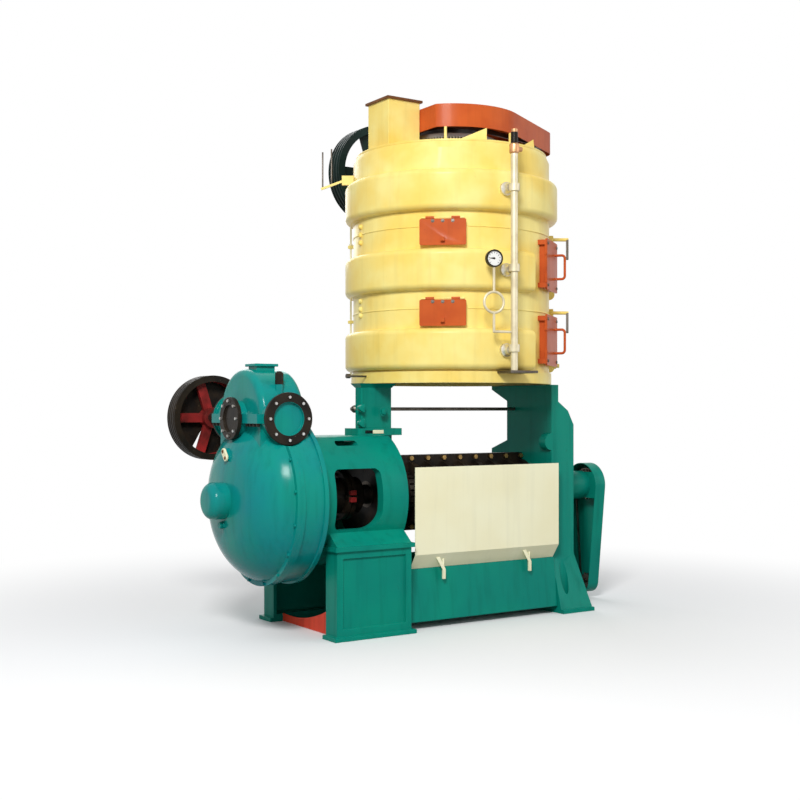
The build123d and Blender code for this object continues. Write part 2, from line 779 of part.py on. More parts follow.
# Tie rod between the column and the right frame, with a tapered nut at its left end
with BuildPart() as tie_rod:
    with BuildSketch(along(COLUMN_LEFT - TIE_ROD_END, TIE_ROD_HEIGHT)):
        with Locations((TIE_ROD_Y, 0)):
            Circle(TIE_ROD_RADIUS)
    extrude(amount=FRAME_LEFT - COLUMN_LEFT + TIE_ROD_END)
with BuildPart() as tie_rod_nut:
    with BuildSketch(along(COLUMN_LEFT, TIE_ROD_HEIGHT)):
        with Locations((TIE_ROD_Y, 0)):
            Circle(COLUMN_LUG_RADIUS)
    with BuildSketch(along(COLUMN_LEFT - TIE_ROD_END / 2, TIE_ROD_HEIGHT)):
        with Locations((TIE_ROD_Y, 0)):
            Circle((COLUMN_LUG_RADIUS + TIE_ROD_RADIUS) / 2)
    loft()
    with BuildSketch(along(COLUMN_LEFT - TIE_ROD_END, TIE_ROD_HEIGHT)):
        with Locations((TIE_ROD_Y, 0)):
            Circle(TIE_ROD_RADIUS)
    extrude(amount=TIE_ROD_END, mode=Mode.SUBTRACT)

# Pressing barrel: numbers shared by its bars, ribs, choke and the frames beside it
bar_inner = WORM_OUTER_RADIUS + BAR_GAP
bar_width = 2 * pi * bar_inner / BAR_COUNT * BAR_SHARE
cage_bore = hypot(bar_inner + BAR_HEIGHT, bar_width / 2)
feed_right = DRUM_RIGHT + FEED_LENGTH

# Right frame: hollow casting with a narrow neck, a sloping shoulder and a spread foot
frame_depth = FRAME_FRONT + FRAME_BACK
frame_middle = (FRAME_BACK - FRAME_FRONT) / 2
cavity_left = FRAME_LEFT + FRAME_WALL
cavity_length = END_FRAME_LENGTH - 2 * FRAME_WALL
cavity_depth = frame_depth - 2 * FRAME_WALL
with BuildPart() as right_frame:
    with BuildSketch(Plane.XZ.offset(-FRAME_BACK)):
        with BuildLine():
            Polyline(
                (FRAME_LEFT, FRAME_FOOT_HEIGHT),
                (FRAME_LEFT, COOKER_BASE),
                (FRAME_LEFT + FRAME_HEAD_LENGTH, COOKER_BASE),
                (FRAME_LEFT + FRAME_HEAD_LENGTH, FRAME_HEAD_BOTTOM),
                (FRAME_LEFT + FRAME_SHOULDER_LENGTH, FRAME_SHOULDER_TOP),
                (FRAME_RIGHT, FRAME_SHOULDER_BOTTOM),
                (FRAME_RIGHT, FRAME_FOOT_HEIGHT),
                close=True,
            )
        make_face()
    extrude(amount=frame_depth)
    with BuildSketch(Plane.XY.offset(FRAME_FOOT_HEIGHT)):
        with Locations((FRAME_LEFT + END_FRAME_LENGTH / 2, frame_middle)):
            Rectangle(END_FRAME_LENGTH, frame_depth)
    with BuildSketch(Plane.XY.offset(FOOT_THICKNESS)):
        with Locations((FRAME_LEFT + FRAME_FOOT_LENGTH / 2, 0)):
            Rectangle(FRAME_FOOT_LENGTH, 2 * FRAME_FOOT_HALF)
    loft()
    with BuildSketch(Plane.XY):
        with Locations((FRAME_LEFT + FRAME_FOOT_LENGTH / 2, 0)):
            Rectangle(FRAME_FOOT_LENGTH, 2 * FRAME_FOOT_HALF + 2 * FOOT_LIP)
    extrude(amount=FOOT_THICKNESS)
    with BuildSketch(along(FRAME_LEFT, 0)):
        with BuildLine():
            Polyline(
                (FRAME_NECK_BACK, FRAME_NECK_BOTTOM),
                (FRAME_NECK_BACK, FRAME_NECK_TOP),
                (FRAME_BACK, COOKER_BASE - FRAME_WALL),
                (FRAME_BACK + OVERRUN, COOKER_BASE - FRAME_WALL),
                (FRAME_BACK + OVERRUN, FRAME_NECK_BOTTOM - FRAME_NECK_FLARE),
                (FRAME_BACK, FRAME_NECK_BOTTOM - FRAME_NECK_FLARE),
                close=True,
            )
        make_face()
    extrude(amount=END_FRAME_LENGTH, mode=Mode.SUBTRACT)
    with BuildSketch(Plane.XY):
        with Locations((cavity_left + cavity_length / 2, frame_middle)):
            Rectangle(cavity_length, cavity_depth)
    extrude(amount=FRAME_CAVITY_TOP, mode=Mode.SUBTRACT)
    with BuildSketch(Plane.XZ.offset(FRAME_FRONT)):
        with Locations((FRAME_LEFT, FRAME_BOSS_BOTTOM + FRAME_BOSS_HEIGHT / 2)):
            Circle(FRAME_BOSS_HEIGHT / 2)
    extrude(amount=-FRAME_BOSS_DEPTH)
    with BuildSketch(along(FRAME_LEFT)):
        Circle(cage_bore)
    extrude(amount=FRAME_WALL, mode=Mode.SUBTRACT)
    with BuildSketch(along(FRAME_RIGHT - FRAME_WALL)):
        Circle(main_bore)
    extrude(amount=FRAME_WALL, mode=Mode.SUBTRACT)
    with BuildSketch(along(FRAME_RIGHT - FRAME_WALL, FRAME_OUTLET_BOTTOM + FRAME_OUTLET_HEIGHT / 2)):
        Rectangle(2 * FRAME_OUTLET_HALF, FRAME_OUTLET_HEIGHT)
    extrude(amount=FRAME_WALL, mode=Mode.SUBTRACT)
    with BuildSketch(along(FRAME_LEFT, SCREW_HEIGHT)):
        Circle(SCREW_SHAFT_RADIUS + RUN_GAP + BUSH_WALL)
    extrude(amount=FRAME_FOOT_LENGTH, mode=Mode.SUBTRACT)
    with BuildSketch(Plane.XY):
        with Locations((-FOUNDATION_LEFT, FOUNDATION_HALF), (-FOUNDATION_LEFT, -FOUNDATION_HALF)):
            Circle(BOLT_HOLE_RADIUS)
    extrude(amount=FOOT_THICKNESS, mode=Mode.SUBTRACT)
    with BuildSketch(Plane.XY.offset(FOOT_THICKNESS)):
        with Locations((-FOUNDATION_LEFT, FOUNDATION_HALF), (-FOUNDATION_LEFT, -FOUNDATION_HALF)):
            Circle(BOLT_POCKET_RADIUS)
    extrude(amount=FRAME_FOOT_HEIGHT, mode=Mode.SUBTRACT)

# Oil bed: open trough with splayed walls between the leg and the right frame
bed_splay = (BED_BASE_HALF - BED_HALF) / (BED_TOP - BED_BOTTOM)
with BuildPart() as oil_bed:
    with BuildSketch(along(LEG_RIGHT, 0)):
        with BuildLine():
            Polyline(
                (-BED_BASE_HALF, BED_BOTTOM),
                (-BED_HALF, BED_TOP),
                (BED_HALF, BED_TOP),
                (BED_BASE_HALF, BED_BOTTOM),
                close=True,
            )
        make_face()
    extrude(amount=FRAME_LEFT - LEG_RIGHT)
    with BuildSketch(along(LEG_RIGHT + BED_WALL, 0)):
        with BuildLine():
            Polyline(
                (-BED_BASE_HALF + BED_WALL, BED_BOTTOM + BED_WALL),
                (-BED_HALF + BED_WALL, BED_TOP),
                (BED_HALF - BED_WALL, BED_TOP),
                (BED_BASE_HALF - BED_WALL, BED_BOTTOM + BED_WALL),
                close=True,
            )
        make_face()
    extrude(amount=FRAME_LEFT - LEG_RIGHT - 2 * BED_WALL, mode=Mode.SUBTRACT)
    with BuildSketch(along(FRAME_LEFT - BED_WALL, SCREW_HEIGHT)):
        Circle(SCREW_SHAFT_RADIUS + RUN_GAP + BUSH_WALL)
    extrude(amount=BED_WALL, mode=Mode.SUBTRACT)

# Gearbox case: short drum with two rings, a back wall and the lower half of the lobe
gear_right = CASE_INSIDE - GEAR_END_GAP
gear_left = gear_right - MAIN_GEAR_FACE
shaft_bore = INPUT_SHAFT_RADIUS + RUN_GAP + BEARING_WALL
lobe_inside = CASE_INSIDE - LOBE_WALL
with BuildPart() as gearbox_case:
    with BuildSketch(along(RING_LEFT)):
        Circle(RING_RADIUS)
    extrude(amount=RING_LENGTH)
    for flange_left in (RING_LEFT, CASE_INSIDE):
        with BuildSketch(along(flange_left)):
            Circle(RING_FLANGE_RADIUS)
        extrude(amount=RING_FLANGE_THICKNESS)
    with BuildSketch(Plane.XY.offset(SHAFT_HEIGHT)):
        with Locations(((RING_LEFT + CASE_INSIDE) / 2, 0)):
            Rectangle(CASE_INSIDE - RING_LEFT, 2 * LOBE_LOWER_HALF)
    extrude(amount=INPUT_RISE)
    with BuildSketch(Plane.XY.offset(INPUT_HEIGHT)):
        with Locations(((RING_LEFT + CASE_INSIDE + SPLIT_SIDE_LIP) / 2, 0)):
            Rectangle(CASE_INSIDE - RING_LEFT + SPLIT_SIDE_LIP, 2 * (LOBE_HALF + SPLIT_SIDE_LIP))
    extrude(amount=-SPLIT_FLANGE)
    with BuildSketch(along(RING_LEFT)):
        Circle(RING_RADIUS - RING_WALL)
    extrude(amount=CASE_INSIDE - RING_LEFT, mode=Mode.SUBTRACT)
    with BuildSketch(Plane.XY.offset(SHAFT_HEIGHT)):
        with Locations(((RING_LEFT + lobe_inside) / 2, 0)):
            Rectangle(lobe_inside - RING_LEFT, 2 * (LOBE_LOWER_HALF - LOBE_WALL))
    extrude(amount=INPUT_RISE, mode=Mode.SUBTRACT)
    with BuildSketch(Plane.XY.offset(INPUT_HEIGHT)):
        with Locations((RING_LEFT + RING_LENGTH / 2, 0)):
            Rectangle(RING_LENGTH, 2 * RING_FLANGE_RADIUS)
    extrude(amount=RING_FLANGE_RADIUS, mode=Mode.SUBTRACT)
    with BuildSketch(along(RING_LEFT)):
        Circle(main_bore)
    extrude(amount=RING_LENGTH, mode=Mode.SUBTRACT)
    with BuildSketch(along(RING_LEFT, INPUT_HEIGHT)):
        Circle(shaft_bore)
    extrude(amount=CASE_INSIDE - RING_LEFT + SPLIT_SIDE_LIP, mode=Mode.SUBTRACT)
    with BuildSketch(Plane(origin=(RING_LEFT, 0, INPUT_HEIGHT), x_dir=(1, 0, 0), z_dir=(0, -1, 0))):
        Circle(INPUT_HOUSING_RADIUS)
    extrude(amount=INPUT_HOUSING_REACH, both=True, mode=Mode.SUBTRACT)
    for facing in (-1, 1):
        with BuildSketch(across(facing * INPUT_HOUSING_REACH, RING_LEFT, INPUT_HEIGHT)):
            Circle(INPUT_CAP_RADIUS + OVERRUN)
        extrude(amount=facing * RING_RADIUS, mode=Mode.SUBTRACT)

# Gearbox end cover: dome with a long hub, and the left part of the lobe
dome = Plane(origin=(RING_LEFT, 0, SHAFT_HEIGHT), x_dir=(-1, 0, 0), z_dir=(0, 1, 0))
lobe_front = LOBE_LENGTH - (CASE_INSIDE - RING_LEFT)
with BuildPart() as gearbox_end_cover:
    with BuildSketch(dome):
        with BuildLine():
            Polyline(
                (0, 0),
                (0, RING_FLANGE_RADIUS),
                (RING_FLANGE_THICKNESS, RING_FLANGE_RADIUS),
                (RING_FLANGE_THICKNESS, DOME_LIP_RADIUS),
            )
            ThreePointArc(
                (RING_FLANGE_THICKNESS, DOME_LIP_RADIUS),
                (DOME_SHOULDER_REACH, DOME_SHOULDER_RADIUS),
                (DOME_FACE_REACH, DOME_FACE_RADIUS),
            )
            Polyline(
                (DOME_FACE_REACH, DOME_FACE_RADIUS),
                (HUB_BASE_REACH, HUB_RADIUS),
                (HUB_REACH - HUB_ROUND, HUB_RADIUS),
            )
            RadiusArc((HUB_REACH - HUB_ROUND, HUB_RADIUS), (HUB_REACH, HUB_RADIUS - HUB_ROUND), HUB_ROUND)
            Polyline((HUB_REACH, HUB_RADIUS - HUB_ROUND), (HUB_REACH, 0), (0, 0))
        make_face()
    revolve(axis=worm_axis)
    with BuildSketch(Plane.XY.offset(SHAFT_HEIGHT + DOME_FACE_RADIUS)):
        with Locations(((LOBE_LEFT + RING_LEFT) / 2, 0)):
            Rectangle(lobe_front, 2 * LOBE_LOWER_HALF)
    extrude(amount=INPUT_RISE - DOME_FACE_RADIUS)
    with BuildSketch(Plane.XY.offset(INPUT_HEIGHT)):
        with Locations(((LOBE_LEFT - SPLIT_LIP + RING_LEFT) / 2, 0)):
            Rectangle(lobe_front + SPLIT_LIP, 2 * (LOBE_HALF + SPLIT_SIDE_LIP))
    extrude(amount=-SPLIT_FLANGE)
    with BuildSketch(along(RING_LEFT)):
        with Locations((SIGHT_ACROSS, SIGHT_RISE)):
            SlotOverall(SIGHT_LENGTH, 2 * SIGHT_RADIUS, rotation=SIGHT_TILT)
    extrude(amount=-SIGHT_REACH)
    with BuildSketch(along(RING_LEFT)):
        with Locations((DRAIN_ACROSS, -DRAIN_DROP)):
            Circle(DRAIN_RADIUS)
    extrude(amount=-DRAIN_SEAT)
    with BuildSketch(dome):
        with BuildLine():
            Polyline(
                (0, 0),
                (0, RING_RADIUS - RING_WALL),
                (RING_FLANGE_THICKNESS, DOME_LIP_RADIUS - DOME_WALL),
            )
            ThreePointArc(
                (RING_FLANGE_THICKNESS, DOME_LIP_RADIUS - DOME_WALL),
                (DOME_SHOULDER_REACH - DOME_WALL / sqrt(2), DOME_SHOULDER_RADIUS - DOME_WALL / sqrt(2)),
                (DOME_FACE_REACH - DOME_WALL, DOME_FACE_RADIUS),
            )
            Polyline(
                (DOME_FACE_REACH - DOME_WALL, DOME_FACE_RADIUS),
                (HUB_BASE_REACH - DOME_WALL, main_bore),
                (HUB_REACH - HUB_END_WALL, main_bore),
                (HUB_REACH - HUB_END_WALL, 0),
                (0, 0),
            )
        make_face()
    revolve(axis=worm_axis, mode=Mode.SUBTRACT)
    with BuildSketch(Plane.XY.offset(SHAFT_HEIGHT + DOME_FACE_RADIUS)):
        with Locations(((LOBE_LEFT + LOBE_WALL + RING_LEFT) / 2, 0)):
            Rectangle(lobe_front - LOBE_WALL, 2 * (LOBE_LOWER_HALF - LOBE_WALL))
    extrude(amount=INPUT_RISE - DOME_FACE_RADIUS, mode=Mode.SUBTRACT)
    with BuildSketch(Plane.XY.offset(INPUT_HEIGHT)):
        with Locations((RING_LEFT - HUB_REACH / 2, 0)):
            Rectangle(HUB_REACH, 2 * RING_FLANGE_RADIUS)
    extrude(amount=RING_FLANGE_RADIUS, mode=Mode.SUBTRACT)
    with BuildSketch(along(LOBE_LEFT - SPLIT_LIP, INPUT_HEIGHT)):
        Circle(CROSS_HOUSING_RADIUS)
    extrude(amount=SPLIT_LIP + LOBE_WALL, mode=Mode.SUBTRACT)
    with BuildSketch(Plane(origin=(RING_LEFT, 0, INPUT_HEIGHT), x_dir=(1, 0, 0), z_dir=(0, -1, 0))):
        Circle(INPUT_HOUSING_RADIUS)
    extrude(amount=INPUT_HOUSING_REACH, both=True, mode=Mode.SUBTRACT)
    for facing in (-1, 1):
        with BuildSketch(across(facing * INPUT_HOUSING_REACH, RING_LEFT, INPUT_HEIGHT)):
            Circle(INPUT_CAP_RADIUS + OVERRUN)
        extrude(amount=facing * RING_RADIUS, mode=Mode.SUBTRACT)

# Gearbox upper cover: arched shell over the input gears, with an inspection neck
lobe_middle = (LOBE_LEFT + CASE_INSIDE) / 2
neck_top = INPUT_HEIGHT + LOBE_HALF + INSPECTION_NECK
cup_base = INPUT_HEIGHT + sqrt(LOBE_HALF**2 - (CUP_OFFSET - CUP_RADIUS) ** 2)
with BuildPart() as gearbox_upper_cover:
    with BuildSketch(along(LOBE_LEFT, INPUT_HEIGHT)):
        Circle(LOBE_HALF)
        with Locations((0, -LOBE_HALF / 2)):
            Rectangle(2 * LOBE_HALF, LOBE_HALF, mode=Mode.SUBTRACT)
    extrude(amount=LOBE_LENGTH)
    fillet(gearbox_upper_cover.edges().filter_by(GeomType.CIRCLE), LOBE_ROUND)
    with BuildSketch(Plane.XY.offset(INPUT_HEIGHT)):
        with Locations(((LOBE_LEFT - SPLIT_LIP + CASE_INSIDE + SPLIT_SIDE_LIP) / 2, 0)):
            Rectangle(LOBE_LENGTH + SPLIT_LIP + SPLIT_SIDE_LIP, 2 * (LOBE_HALF + SPLIT_SIDE_LIP))
    extrude(amount=SPLIT_FLANGE)
    with BuildSketch(Plane.XY.offset(INPUT_HEIGHT)):
        with Locations((lobe_middle, 0)):
            Rectangle(INSPECTION_LENGTH - 2 * INSPECTION_NECK, INSPECTION_WIDTH - 2 * INSPECTION_NECK)
    extrude(amount=LOBE_HALF + INSPECTION_NECK)
    with BuildSketch(Plane.XY.offset(INPUT_HEIGHT)):
        with Locations((RING_LEFT, -CUP_OFFSET)):
            Circle(CUP_RADIUS)
    extrude(amount=cup_base - INPUT_HEIGHT)
    with BuildSketch(along(LOBE_LEFT + LOBE_WALL, INPUT_HEIGHT)):
        Circle(LOBE_HALF - LOBE_WALL)
        with Locations((0, -LOBE_HALF / 2)):
            Rectangle(2 * LOBE_HALF, LOBE_HALF, mode=Mode.SUBTRACT)
    extrude(amount=LOBE_LENGTH - 2 * LOBE_WALL, mode=Mode.SUBTRACT)
    with BuildSketch(Plane.XY.offset(neck_top)):
        with Locations((lobe_middle, 0)):
            Rectangle(INSPECTION_LENGTH - 4 * INSPECTION_NECK, INSPECTION_WIDTH - 4 * INSPECTION_NECK)
    extrude(amount=-LOBE_HALF, mode=Mode.SUBTRACT)
    with BuildSketch(along(LOBE_LEFT - SPLIT_LIP, INPUT_HEIGHT)):
        Circle(CROSS_HOUSING_RADIUS)
    extrude(amount=SPLIT_LIP + LOBE_WALL, mode=Mode.SUBTRACT)
    with BuildSketch(along(lobe_inside, INPUT_HEIGHT)):
        Circle(shaft_bore)
    extrude(amount=LOBE_WALL + SPLIT_SIDE_LIP, mode=Mode.SUBTRACT)
    with BuildSketch(Plane(origin=(RING_LEFT, 0, INPUT_HEIGHT), x_dir=(1, 0, 0), z_dir=(0, -1, 0))):
        Circle(INPUT_HOUSING_RADIUS)
    extrude(amount=LOBE_HALF + SPLIT_SIDE_LIP, both=True, mode=Mode.SUBTRACT)
with BuildPart() as inspection_cover:
    with BuildSketch(Plane.XY.offset(neck_top)):
        with Locations((lobe_middle, 0)):
            Rectangle(INSPECTION_LENGTH, INSPECTION_WIDTH)
    extrude(amount=INSPECTION_PLATE)

# Bearing housings that sit in the split bores, and their bolted rings
front_face = across(-INPUT_HOUSING_REACH, RING_LEFT, INPUT_HEIGHT)
rear_face = across(INPUT_HOUSING_REACH, RING_LEFT, INPUT_HEIGHT)
cross_face = LOBE_LEFT - CROSS_HOUSING_STEP
with BuildPart() as front_housing:
    with BuildSketch(front_face):
        Circle(INPUT_HOUSING_RADIUS)
    extrude(amount=INPUT_HOUSING_DEPTH)
    with BuildSketch(front_face.offset(INPUT_HOUSING_DEPTH / 2)):
        Circle(shaft_bore)
    extrude(amount=INPUT_HOUSING_DEPTH / 2, mode=Mode.SUBTRACT)
rear_housing = ring(
    rear_face.offset(-INPUT_HOUSING_DEPTH), INPUT_HOUSING_RADIUS, shaft_bore, INPUT_HOUSING_DEPTH
)
cross_housing = ring(along(cross_face, INPUT_HEIGHT), CROSS_HOUSING_RADIUS, shaft_bore, CROSS_HOUSING_DEPTH)
cap_eye = INPUT_CAP_RADIUS * CAP_EYE_SHARE
front_cap = ring(front_face.offset(-INPUT_CAP_THICKNESS), INPUT_CAP_RADIUS, cap_eye, INPUT_CAP_THICKNESS)
rear_cap = ring(rear_face, INPUT_CAP_RADIUS, INPUT_SHAFT_RADIUS + OVERRUN, INPUT_CAP_THICKNESS)
with BuildPart() as cross_cap:
    with BuildSketch(along(cross_face - CROSS_CAP_THICKNESS, INPUT_HEIGHT)):
        Circle(CROSS_CAP_RADIUS)
    extrude(amount=CROSS_CAP_THICKNESS)
    with BuildSketch(along(cross_face - CROSS_CAP_THICKNESS, INPUT_HEIGHT)):
        Circle(CROSS_CAP_RADIUS * CAP_EYE_SHARE)
    extrude(amount=CROSS_CAP_THICKNESS / 2, mode=Mode.SUBTRACT)

# Bolts of the gearbox: heads on the three caps and round the dome's rim
cap_bolt_circle = INPUT_CAP_RADIUS * (1 + CAP_EYE_SHARE) / 2
cross_bolt_circle = CROSS_CAP_RADIUS * (1 + CAP_EYE_SHARE) / 2
rim_bolt_circle = (RING_FLANGE_RADIUS + DOME_LIP_RADIUS) / 2
with BuildPart() as gearbox_bolts:
    with BuildSketch(front_face.offset(-INPUT_CAP_THICKNESS)):
        with PolarLocations(cap_bolt_circle, CAP_BOLTS):
            RegularPolygon(BOLT_RADIUS, 6)
    extrude(amount=-BOLT_HEAD)
    with BuildSketch(rear_face.offset(INPUT_CAP_THICKNESS)):
        with PolarLocations(cap_bolt_circle, CAP_BOLTS):
            RegularPolygon(BOLT_RADIUS, 6)
    extrude(amount=BOLT_HEAD)
    with BuildSketch(along(cross_face - CROSS_CAP_THICKNESS, INPUT_HEIGHT)):
        with PolarLocations(cross_bolt_circle, CAP_BOLTS):
            RegularPolygon(BOLT_RADIUS, 6)
    extrude(amount=-BOLT_HEAD)
    with BuildSketch(along(RING_LEFT - RING_FLANGE_THICKNESS)):
        with PolarLocations(rim_bolt_circle, RING_BOLTS, RING_BOLT_START, RING_BOLT_ARC, endpoint=True):
            RegularPolygon(BOLT_RADIUS, 6)
    extrude(amount=-BOLT_HEAD)

# Sight glass, drain plug and oil cup
with BuildPart() as sight_glass:
    with BuildSketch(along(RING_LEFT - SIGHT_REACH)):
        with Locations((SIGHT_ACROSS, SIGHT_RISE)):
            SlotOverall(SIGHT_LENGTH, 2 * SIGHT_RADIUS, rotation=SIGHT_TILT)
    extrude(amount=-SIGHT_DEPTH)
with BuildPart() as drain_plug:
    with BuildSketch(along(RING_LEFT - DRAIN_SEAT)):
        with Locations((DRAIN_ACROSS, -DRAIN_DROP)):
            RegularPolygon(DRAIN_RADIUS, 6)
    extrude(amount=DRAIN_SEAT - DRAIN_REACH)
with BuildPart() as oil_cup:
    with BuildSketch(Plane.XY.offset(cup_base)):
        with Locations((RING_LEFT, -CUP_OFFSET)):
            Circle(CUP_RADIUS)
    extrude(amount=CUP_HEIGHT)
    chamfer(oil_cup.faces().sort_by(Axis.Z)[-1].edges(), CUP_RADIUS / 2)

# Main gear: toothed rim, thin web with round windows, and a hub
main_root = MAIN_PITCH_RADIUS - DEDENDUM_SHARE * MODULE
main_tip = MAIN_PITCH_RADIUS + ADDENDUM_SHARE * MODULE
web_outer = main_root - MAIN_GEAR_RIM
web_step = (MAIN_GEAR_FACE - MAIN_GEAR_WEB) / 2
gear_blank = toothed_wheel(
    along(gear_left),
    MAIN_GEAR_TEETH,
    main_root,
    main_tip,
    MAIN_GEAR_FACE,
    WORM_SHAFT_RADIUS,
    GEAR_TURN_SHARE,
)
with BuildPart() as main_gear:
    add(gear_blank.part)
    for recess_left in (gear_left, gear_right - web_step):
        with BuildSketch(along(recess_left)):
            Circle(web_outer)
            Circle(GEAR_HUB_RADIUS, mode=Mode.SUBTRACT)
        extrude(amount=web_step, mode=Mode.SUBTRACT)
    with BuildSketch(along(gear_left)):
        with PolarLocations((web_outer + GEAR_HUB_RADIUS) / 2, GEAR_WINDOWS):
            Circle((web_outer - GEAR_HUB_RADIUS) * GEAR_WINDOW_SHARE)
    extrude(amount=MAIN_GEAR_FACE, mode=Mode.SUBTRACT)

# Worm shaft: plain bar through everything, with the chain sprocket on its right end
shaft_left = RING_LEFT - HUB_REACH + HUB_END_WALL + WORM_END_CLEARANCE
sprocket_left = HOOD_RIGHT + CHAIN_CASE_DEPTH * SPROCKET_X_SHARE
shaft_right = sprocket_left + 2 * SPROCKET_THICKNESS
drive_sprocket = toothed_wheel(
    along(sprocket_left),
    SPROCKET_TEETH,
    SPROCKET_RADIUS - SPROCKET_TOOTH,
    SPROCKET_RADIUS,
    SPROCKET_THICKNESS,
    WORM_SHAFT_RADIUS,
)
with BuildPart() as main_shaft:
    with BuildSketch(along(shaft_left)):
        Circle(WORM_SHAFT_RADIUS)
    extrude(amount=shaft_right - shaft_left)
    add(drive_sprocket.part)

# Worm sections: cores that swell towards the cake end, each with one flight
worm_left = DRUM_RIGHT + WORM_END_CLEARANCE
worm_pitch = (BARREL_LENGTH - 2 * WORM_END_CLEARANCE) / WORM_SECTIONS
with BuildPart() as worms:
    for section in range(WORM_SECTIONS):
        core_radius = WORM_CORE_RADIUS + section * WORM_CORE_GROWTH
        section_left = worm_left + section * worm_pitch
        with BuildSketch(along(section_left)):
            Circle(core_radius)
        extrude(amount=worm_pitch)
        flight_room = worm_pitch * (1 - 2 * WORM_GAP_SHARE)
        flight_left = section_left + worm_pitch * WORM_GAP_SHARE
        flight = screw_flight(
            flight_left,
            flight_room / WORM_TURNS_SHARE,
            flight_room,
            core_radius,
            WORM_OUTER_RADIUS,
            WORM_FLIGHT,
            SHAFT_HEIGHT,
        )
        add(flight.part)
    with BuildSketch(along(worm_left)):
        Circle(WORM_SHAFT_RADIUS)
    extrude(amount=BARREL_LENGTH, mode=Mode.SUBTRACT)

# Coupling seen through the drum's window: two hubs with bolted flanges
coupling_middle = COUPLING_RIGHT - COUPLING_LENGTH / 2
with BuildPart() as shaft_coupling:
    with BuildSketch(along(COUPLING_RIGHT - COUPLING_LENGTH)):
        Circle(COUPLING_RADIUS)
    extrude(amount=COUPLING_LENGTH)
    with BuildSketch(along(coupling_middle - COUPLING_SLIT / 2 - COUPLING_FLANGE)):
        Circle(COUPLING_FLANGE_RADIUS)
    extrude(amount=COUPLING_FLANGE)
    with BuildSketch(along(coupling_middle + COUPLING_SLIT / 2)):
        Circle(COUPLING_FLANGE_RADIUS)
    extrude(amount=COUPLING_FLANGE)
    with BuildSketch(along(coupling_middle - COUPLING_FLANGE - COUPLING_SLIT / 2 - BOLT_HEAD)):
        with PolarLocations((COUPLING_RADIUS + COUPLING_FLANGE_RADIUS) / 2, CAP_BOLTS):
            RegularPolygon(BOLT_RADIUS, 6)
    extrude(amount=2 * (COUPLING_FLANGE + BOLT_HEAD) + COUPLING_SLIT)
    with BuildSketch(along(COUPLING_RIGHT - COUPLING_LENGTH)):
        Circle(WORM_SHAFT_RADIUS)
    extrude(amount=COUPLING_LENGTH, mode=Mode.SUBTRACT)

# Cross shaft: spur pinion on the main gear and the bevel gear towards the dome
pinion_left = gear_left - PINION_EXTRA / 2
cross_left = cross_face + WORM_END_CLEARANCE
cross_right = CASE_INSIDE + SPLIT_SIDE_LIP
spur_pinion = toothed_wheel(
    along(pinion_left, INPUT_HEIGHT),
    PINION_TEETH,
    PINION_PITCH_RADIUS - DEDENDUM_SHARE * MODULE,
    PINION_PITCH_RADIUS + ADDENDUM_SHARE * MODULE,
    MAIN_GEAR_FACE + PINION_EXTRA,
    INPUT_SHAFT_RADIUS,
)
with BuildPart() as cross_shaft:
    with BuildSketch(along(cross_left, INPUT_HEIGHT)):
        Circle(INPUT_SHAFT_RADIUS)
    extrude(amount=cross_right - cross_left)
    add(spur_pinion.part)
gearbox_apex = Plane(origin=(RING_LEFT, 0, INPUT_HEIGHT), x_dir=(0, 1, 0), z_dir=(-1, 0, 0))
bevel_gear = crown_wheel(
    gearbox_apex, BEVEL_GEAR_TEETH, BEVEL_GEAR_RADIUS, BEVEL_PINION_RADIUS, BEVEL_MODULE, INPUT_SHAFT_RADIUS
)

# Input shaft: bevel pinion inside, pulley outside
input_pulley_half = INPUT_PULLEY_RADIUS * PULLEY_WIDTH_SHARE / 2
input_pinion = bevel_pinion(
    across(0, RING_LEFT, INPUT_HEIGHT),
    BEVEL_PINION_TEETH,
    BEVEL_PINION_RADIUS,
    BEVEL_GEAR_RADIUS,
    BEVEL_MODULE,
    GEAR_TURN_SHARE,
)
with BuildPart() as input_shaft:
    add(input_pinion.part)
    with BuildSketch(across(BEVEL_GEAR_RADIUS, RING_LEFT, INPUT_HEIGHT)):
        Circle(INPUT_SHAFT_RADIUS)
    extrude(amount=INPUT_PULLEY_Y + input_pulley_half - BEVEL_GEAR_RADIUS)
input_pulley = spoked_pulley(
    across(INPUT_PULLEY_Y, RING_LEFT, INPUT_HEIGHT), INPUT_PULLEY_RADIUS, INPUT_SHAFT_RADIUS
)

